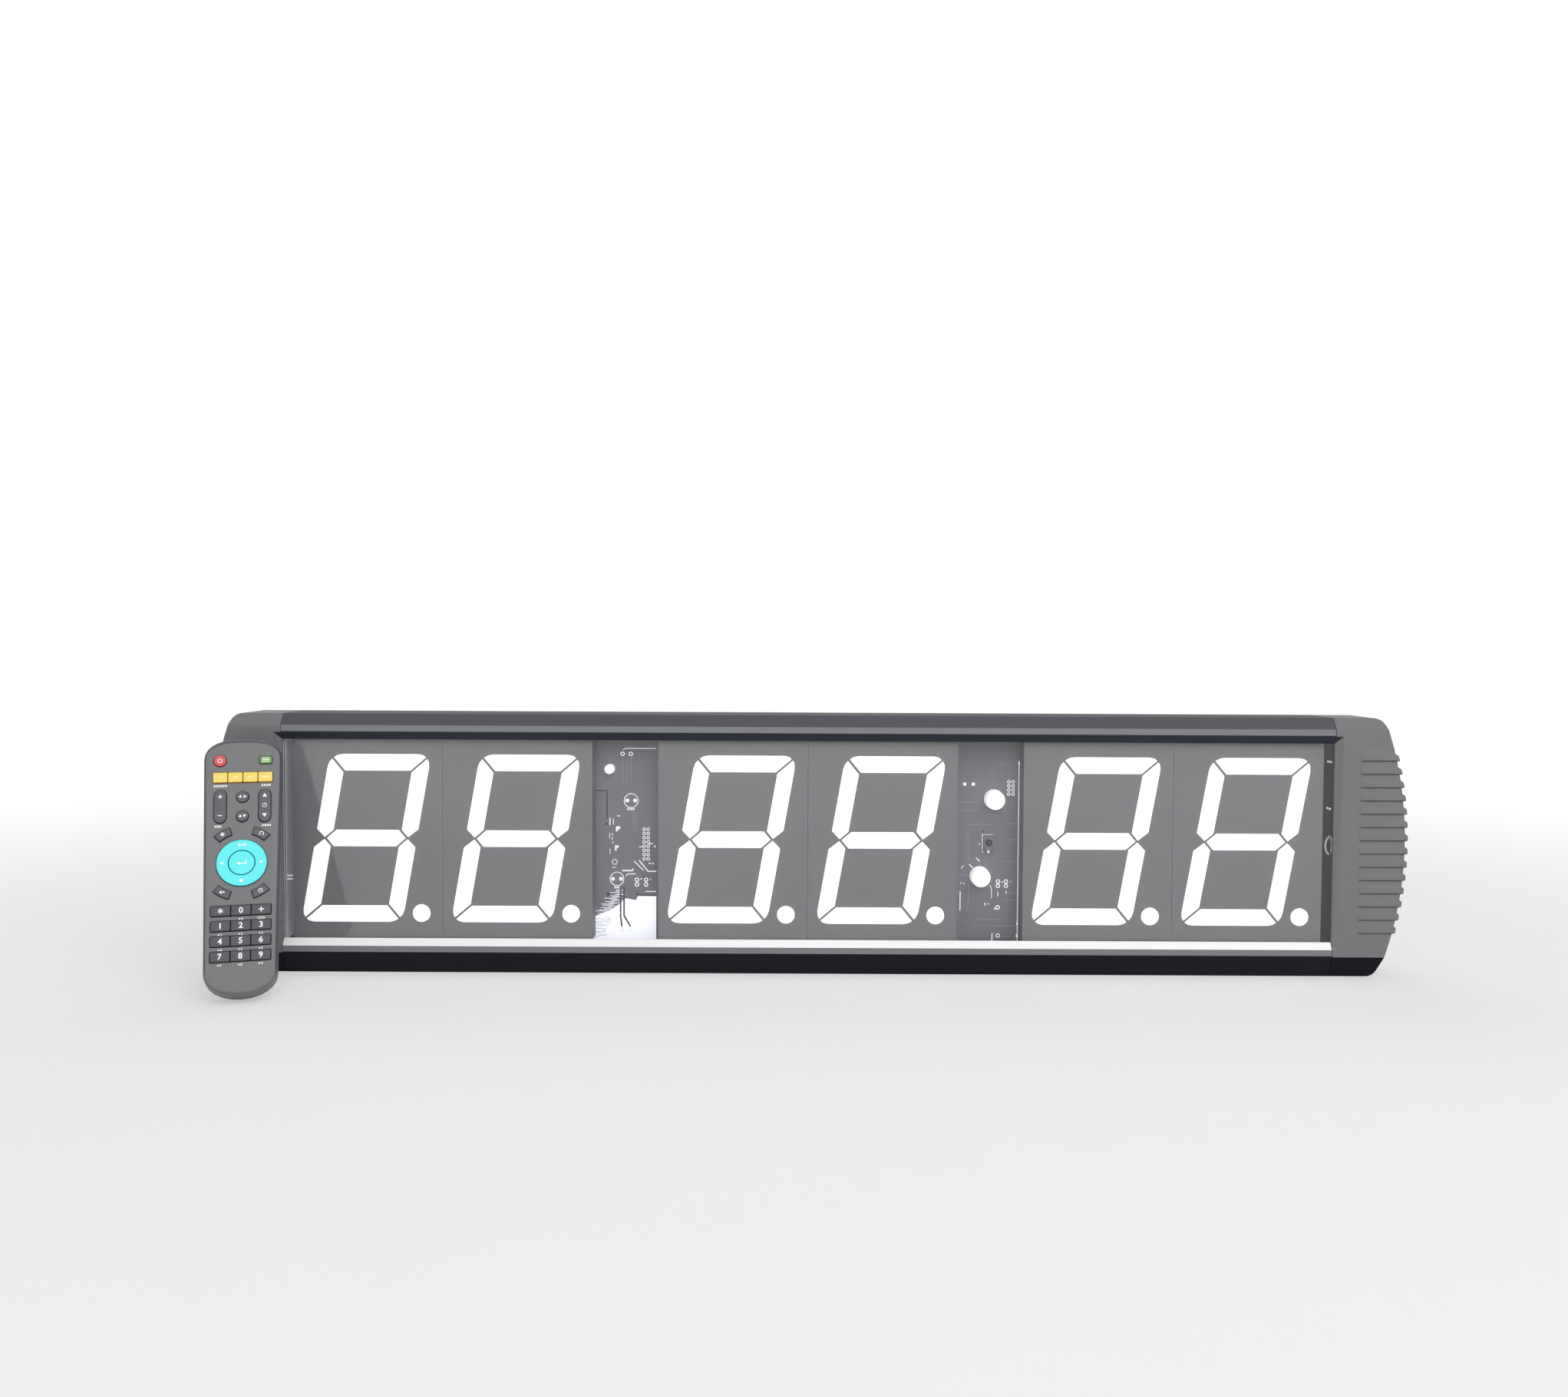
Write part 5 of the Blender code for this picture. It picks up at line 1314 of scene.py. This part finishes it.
class TIMER_OT_remote_shells(bpy.types.Operator):
    """Finish the remote's two shells and its battery door"""
    bl_idname = "timer.remote_shells"
    bl_label = "Remote shells"

    def execute(self, context):
        for node in ("remote_back_shell", "battery_door"):
            dress(node, finish(satin_abs, "remote"))
        shell = new_piece("shell_front", self.front_shell(), finish(satin_abs, "remote_band"),
                          "remote", REMOTE, 32.0)
        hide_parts("remote_front_shell")
        return {"FINISHED"}

    def front_shell(self):
        """The moulded front: a cup whose shoulder rolls into a face with the keys' openings."""
        band = 1.8
        crown = 3.6
        wall = 1.8
        seam = 8.95 * MM
        shoulder = 4.0 * MM
        rings = [(self.outline(band + 0.9, crown + 0.9), wall * MM)]
        rings += [(self.outline(wall, wall), depth) for depth in (3.2 * MM, seam)]
        rings += [(self.outline(0.0, 0.0), seam)]
        for inset, depth in quarter(1.0, 8):
            rings.append((self.outline(band * inset, crown * inset), shoulder * depth))
        bm = bmesh.new()
        skin(bm, rings)
        loops = front_loops("remote_front_shell", REMOTE)[0]
        loops.sort(key=height_of)
        cutter = bmesh.new()
        for loop in loops[:-1]:
            skin(cutter, [(loop, 2.6 * MM), (loop, -1.0 * MM)])
        return carved(bm, cutter)

    def outline(self, shrink, crown, steps=36):
        """The remote's outline in metres, drawn in by millimetres, and more at its crown."""
        foot = 13.0
        # Half width, height, roundness and level of the oval at each end, and its way up or down
        ends = ((21.2 - shrink, CROWN - crown, 2.4, REMOTE_LENGTH / MM - CROWN, 1),
                (19.2 - shrink, foot - shrink, 2.1, foot, -1))
        points = []
        for half, rise, power, level, sign in ends:
            for step in range(steps + 1):
                angle = math.pi * step / steps
                across = math.copysign(abs(math.cos(angle)) ** (2 / power), math.cos(angle))
                up = math.sin(angle) ** (2 / power) if 0 < step < steps else 0.0
                points.append(Vector((across * half * sign, level + sign * rise * up)) * MM)
        return points


class TIMER_OT_remote_insides(bpy.types.Operator):
    """Finish the remote's board and its two cells"""
    bl_idname = "timer.remote_insides"
    bl_label = "Remote insides"

    def execute(self, context):
        dress("remote_board", finish(remote_board_finish))
        for node in ("battery_1", "battery_2"):
            dress(node, finish(cell_sleeve))
        return {"FINISHED"}


KEY_SHADES = {"key_power": "red", "key_edit": "green", "key_colour": "yellow",
              "key_ring": "cyan", "key_centre": "cyan", "key_round": "dark",
              "key_corner": "dark", "key_left": "dark", "key_right": "dark"}


def key_nodes():
    return sorted(node for node in NODES if node.startswith("key_"))


class TIMER_OT_keys(bpy.types.Operator):
    """Make the remote's keys with rounded edges and crowned tops"""
    bl_idname = "timer.keys"
    bl_label = "Keys"

    def execute(self, context):
        for node in key_nodes():
            group = "_".join(node.split("_")[:2])
            shade = KEY_SHADES.get(group, "pad")
            rubber = finish(silicone_rubber, "key_" + shade, "key_" + shade + "_side")
            loops, top = front_loops(node, REMOTE)
            bm = bmesh.new()
            if node == "key_ring":
                self.ring(bm, node, top)
            else:
                self.cap(bm, node, loops[0], top)
            key = new_piece(node.replace("key_", "keytop_"), bm, rubber, node, REMOTE)
            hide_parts(node)
        return {"FINISHED"}

    def cap(self, bm, node, crown, top):
        """A key whose outline is the node's, rounded over its edge and crowned on top."""
        outline = offset(crown, -0.3 * MM)
        foot = local_box(node, REMOTE)[1].y
        low = top + size("key_crown")
        rings = [(outline, foot)]
        for inset, depth in quarter(size("key_round"), 4):
            rings.append((offset(outline, inset), low + depth))
        edge = rings[-1][0]
        for share in (0.8, 0.55, 0.3):
            rings.append((scaled(edge, share), low - size("key_crown") * (1 - share * share)))
        rings.append(([middle_of(edge)], top))
        skin(bm, rings)

    def ring(self, bm, node, top):
        """The round direction key: a broad ring with both edges rounded."""
        low, high = local_box(node, REMOTE)
        loops = sorted(front_loops(node, REMOTE)[0], key=lambda loop: max(p.x for p in loop))
        centre = middle_of(loops[1])
        inner = max(point.x for point in loops[0]) - centre.x
        outer = max(point.x for point in loops[1]) - centre.x + 0.3 * MM
        radius = size("key_round")
        middle = (inner + outer) / 2
        low_top = top + size("key_crown")
        profile = [(inner, high.y), (outer, high.y)]
        profile += [(outer - inset, low_top + depth) for inset, depth in quarter(radius, 4)]
        for share in (0.6, 0.25, -0.25, -0.6):
            reach = (outer - inner) / 2 - radius
            profile.append((middle + reach * share, low_top - size("key_crown") * (1 - share ** 2)))
        profile += [(inner + inset, low_top + depth) for inset, depth in quarter(radius, 4)[::-1]]
        revolve(bm, profile, centre, 96)


def key_marks(node):
    """The generic signs on a key, in millimetres about the key's middle."""
    marks = {
        "key_power": (band_mark(0, -0.15, 1.35, 0.36, 125, 415)
                      + line_mark([(0, 1.45), (0, 0.1)], 0.38)),
        "key_edit": [box_mark(0, z, 4.0, 0.42)[0] for z in (0.95, 0, -0.95)],
        "key_left_rocker": plus_mark(0, 5.6, 1.15, 0.5) + box_mark(0, -5.6, 2.3, 0.5),
        "key_right_rocker": (wedge_mark(0, 5.7, 1.45, 90) + wedge_mark(0, -5.7, 1.45, 270)
                             + clock_mark(0, 0, 1.3)),
        "key_round_upper": wedge_mark(-1.15, 0, 1.05, 180) + wedge_mark(1.15, 0, 1.05, 0),
        "key_round_lower": wedge_mark(-1.1, -0.15, 1.1, 90) + wedge_mark(1.1, 0.15, 1.1, 270),
        "key_corner_1": star_mark(-0.2, 0.1, 1.25, 0.45),
        "key_corner_2": (band_mark(0.2, 0.1, 1.2, 0.36, -30, 250)
                         + wedge_mark(1.25, -0.55, 0.65, 250)),
        "key_corner_3": speaker_mark(0.1, 0),
        "key_corner_4": clock_mark(0, 0.1, 1.25),
        "key_ring": (wedge_mark(-1.2, 10.3, 1.15, 0) + box_mark(0.75, 10.3, 0.5, 1.8)
                     + box_mark(1.75, 10.3, 0.5, 1.8) + box_mark(0, -10.4, 1.7, 1.7)
                     + wedge_mark(-10.3, 0, 1.15, 180) + wedge_mark(10.3, 0, 1.15, 0)),
        "key_centre": (line_mark([(2.4, 1.2), (2.4, -0.5), (-0.9, -0.5)], 0.5)
                       + wedge_mark(-1.5, -0.5, 1.2, 180)),
        "key_star": star_mark(0, 0, 1.5, 0.5),
        "key_plus": plus_mark(0, 0, 1.4, 0.55),
    }
    if node.startswith("key_colour"):
        count = int(node[-1])
        return [mark for i in range(count)
                for mark in disc_mark((i - (count - 1) / 2) * 1.1, 0, 0.34, 12)]
    return marks.get(node, [])


class TIMER_OT_prints(bpy.types.Operator):
    """Print the keys' digits and signs, and the small marks on the remote's face"""
    bl_idname = "timer.prints"
    bl_label = "Prints"

    def execute(self, context):
        rise = size("print_rise")
        for node in key_nodes():
            low, high = local_box(node, REMOTE)
            x, z = [value / MM for value in flat_middle(low, high)]
            bm = bmesh.new()
            marks = [[(x + across, z + up) for across, up in mark] for mark in key_marks(node)]
            plates(bm, marks, low.y - rise, low.y + 0.3 * MM)
            if node[4:].isdigit():
                number_mesh(bm, node[4:], x, z, 3.3, low.y - rise, low.y + 0.3 * MM)
            ink = new_piece(node.replace("key_", "sign_"), bm, finish(pad_ink), node, REMOTE, 20.0)
        self.face_marks(rise)
        return {"FINISHED"}

    def face_marks(self, rise):
        """Small program numbers under the number keys, and rows of dashes on the face."""
        bm = bmesh.new()
        front = -rise
        back = 0.2 * MM
        for number in range(10):
            low, high = local_box("key_%d" % number, REMOTE)
            x = (low.x + high.x) / 2 / MM
            z = low.z / MM - 1.15
            plates(bm, box_mark(x - 0.75, z, 0.75, 0.75), front, back)
            number_mesh(bm, str(number), x + 0.55, z, 1.35, front, back)
        low, high = local_box("key_plus", REMOTE)
        number_mesh(bm, "12/24", (low.x + high.x) / 2 / MM, low.z / MM - 1.15, 1.35, front, back)
        for x, z, width, count in ((-12.0, 119.6, 7.4, 6), (12.5, 119.6, 5.2, 4),
                                   (-12.9, 95.6, 4.0, 4), (12.9, 95.6, 5.2, 4)):
            plates(bm, dashes(x, z, width, count), front, back)
        ink = new_piece("face_marks", bm, finish(pad_ink), "remote", REMOTE, 20.0)


class TIMER_OT_stage(bpy.types.Operator):
    """Make the floor, the lights, the white surroundings and the camera"""
    bl_idname = "timer.stage"
    bl_label = "Stage"

    def execute(self, context):
        self.make_floor()
        self.make_lights()
        self.make_surroundings()
        self.make_camera()
        context.scene.view_settings.view_transform = "Standard"
        return {"FINISHED"}

    def make_floor(self):
        bm = bmesh.new()
        bmesh.ops.create_circle(bm, cap_ends=True, segments=96, radius=size("floor_radius"))
        mesh = bpy.data.meshes.new("floor")
        bm.to_mesh(mesh)
        bm.free()
        mesh.materials.append(finish(studio_floor))
        floor = linked("floor", mesh)

    def make_lights(self):
        """Three large soft panels: the key from the upper right, a fill, and one from behind."""
        target = Vector((0.0, 0.0, 80.0 * MM))
        for name, place, width, power in (("key_panel", (0.9, -1.9, 2.0), 2.2, 30.0),
                                          ("fill_panel", (0.1, -2.4, 0.9), 1.1, 8.0),
                                          ("back_panel", (-0.3, 1.8, 2.2), 2.0, 12.0)):
            lamp = bpy.data.lights.new(name, "AREA")
            lamp.shape = "RECTANGLE"
            lamp.size = width
            lamp.size_y = width * 0.7
            lamp.energy = power
            item = linked(name, lamp)
            item.location = place
            item.rotation_euler = (target - Vector(place)).to_track_quat("-Z", "Y").to_euler()

    def make_surroundings(self):
        """White all round for the camera and reflections, dimmer as light on the object."""
        world = bpy.data.worlds.new("studio")
        world.use_nodes = True
        tree = world.node_tree
        tree.nodes.clear()
        dim, white = [add_node(tree, "ShaderNodeBackground", {"Color": WHITE, "Strength": strength})
                      for strength in (0.4, 1.0)]
        sky = add_node(tree, "ShaderNodeMixShader", {"Fac": seen(tree), 1: dim, 2: white})
        add_node(tree, "ShaderNodeOutputWorld", {"Surface": sky})
        bpy.context.scene.world = world

    def make_camera(self):
        """The photograph's view: nearly level, 0.85 m in front of the window."""
        place = (-0.0151, -0.850, 0.199)
        yaw, pitch, roll = (math.radians(angle) for angle in (-0.029, 90.0 - 2.256, 0.271))
        lens = bpy.data.cameras.new("camera")
        lens.lens = 32.05
        lens.sensor_width = 36.0
        lens.clip_end = 100.0
        camera = linked("camera", lens)
        turn = (Matrix.Rotation(yaw, 4, "Z") @ Matrix.Rotation(pitch, 4, "X")
                @ Matrix.Rotation(roll, 4, "Z"))
        camera.matrix_world = Matrix.Translation(place) @ turn
        bpy.context.scene.camera = camera


OPERATORS = (TIMER_OT_case, TIMER_OT_caps, TIMER_OT_window, TIMER_OT_digits, TIMER_OT_board,
             TIMER_OT_strips, TIMER_OT_lamps, TIMER_OT_remote_shells, TIMER_OT_remote_insides,
             TIMER_OT_keys, TIMER_OT_prints, TIMER_OT_stage)


class TIMER_PT_pieces(bpy.types.Panel):
    """Lists the timer's pieces and settings"""
    bl_idname = "TIMER_PT_pieces"
    bl_label = "Wall timer"
    bl_space_type = "VIEW_3D"
    bl_region_type = "UI"
    bl_category = "Timer"

    def draw(self, context):
        for operator in OPERATORS:
            self.layout.operator(operator.bl_idname)
        for group in (context.scene.timer_sizes, context.scene.timer_colours):
            column = self.layout.column(align=True)
            for name in group.__annotations__:
                column.prop(group, name)


CLASSES = (TimerSizes, TimerColours) + OPERATORS + (TIMER_PT_pieces,)


def register():
    for item in CLASSES:
        bpy.utils.register_class(item)
    bpy.types.Scene.timer_sizes = PointerProperty(type=TimerSizes)
    bpy.types.Scene.timer_colours = PointerProperty(type=TimerColours)


def unregister():
    del bpy.types.Scene.timer_colours
    del bpy.types.Scene.timer_sizes
    for item in reversed(CLASSES):
        bpy.utils.unregister_class(item)


def main():
    register()
    for operator in OPERATORS:
        family, action = operator.bl_idname.split(".")
        getattr(getattr(bpy.ops, family), action)()


if __name__ == "__main__":
    main()
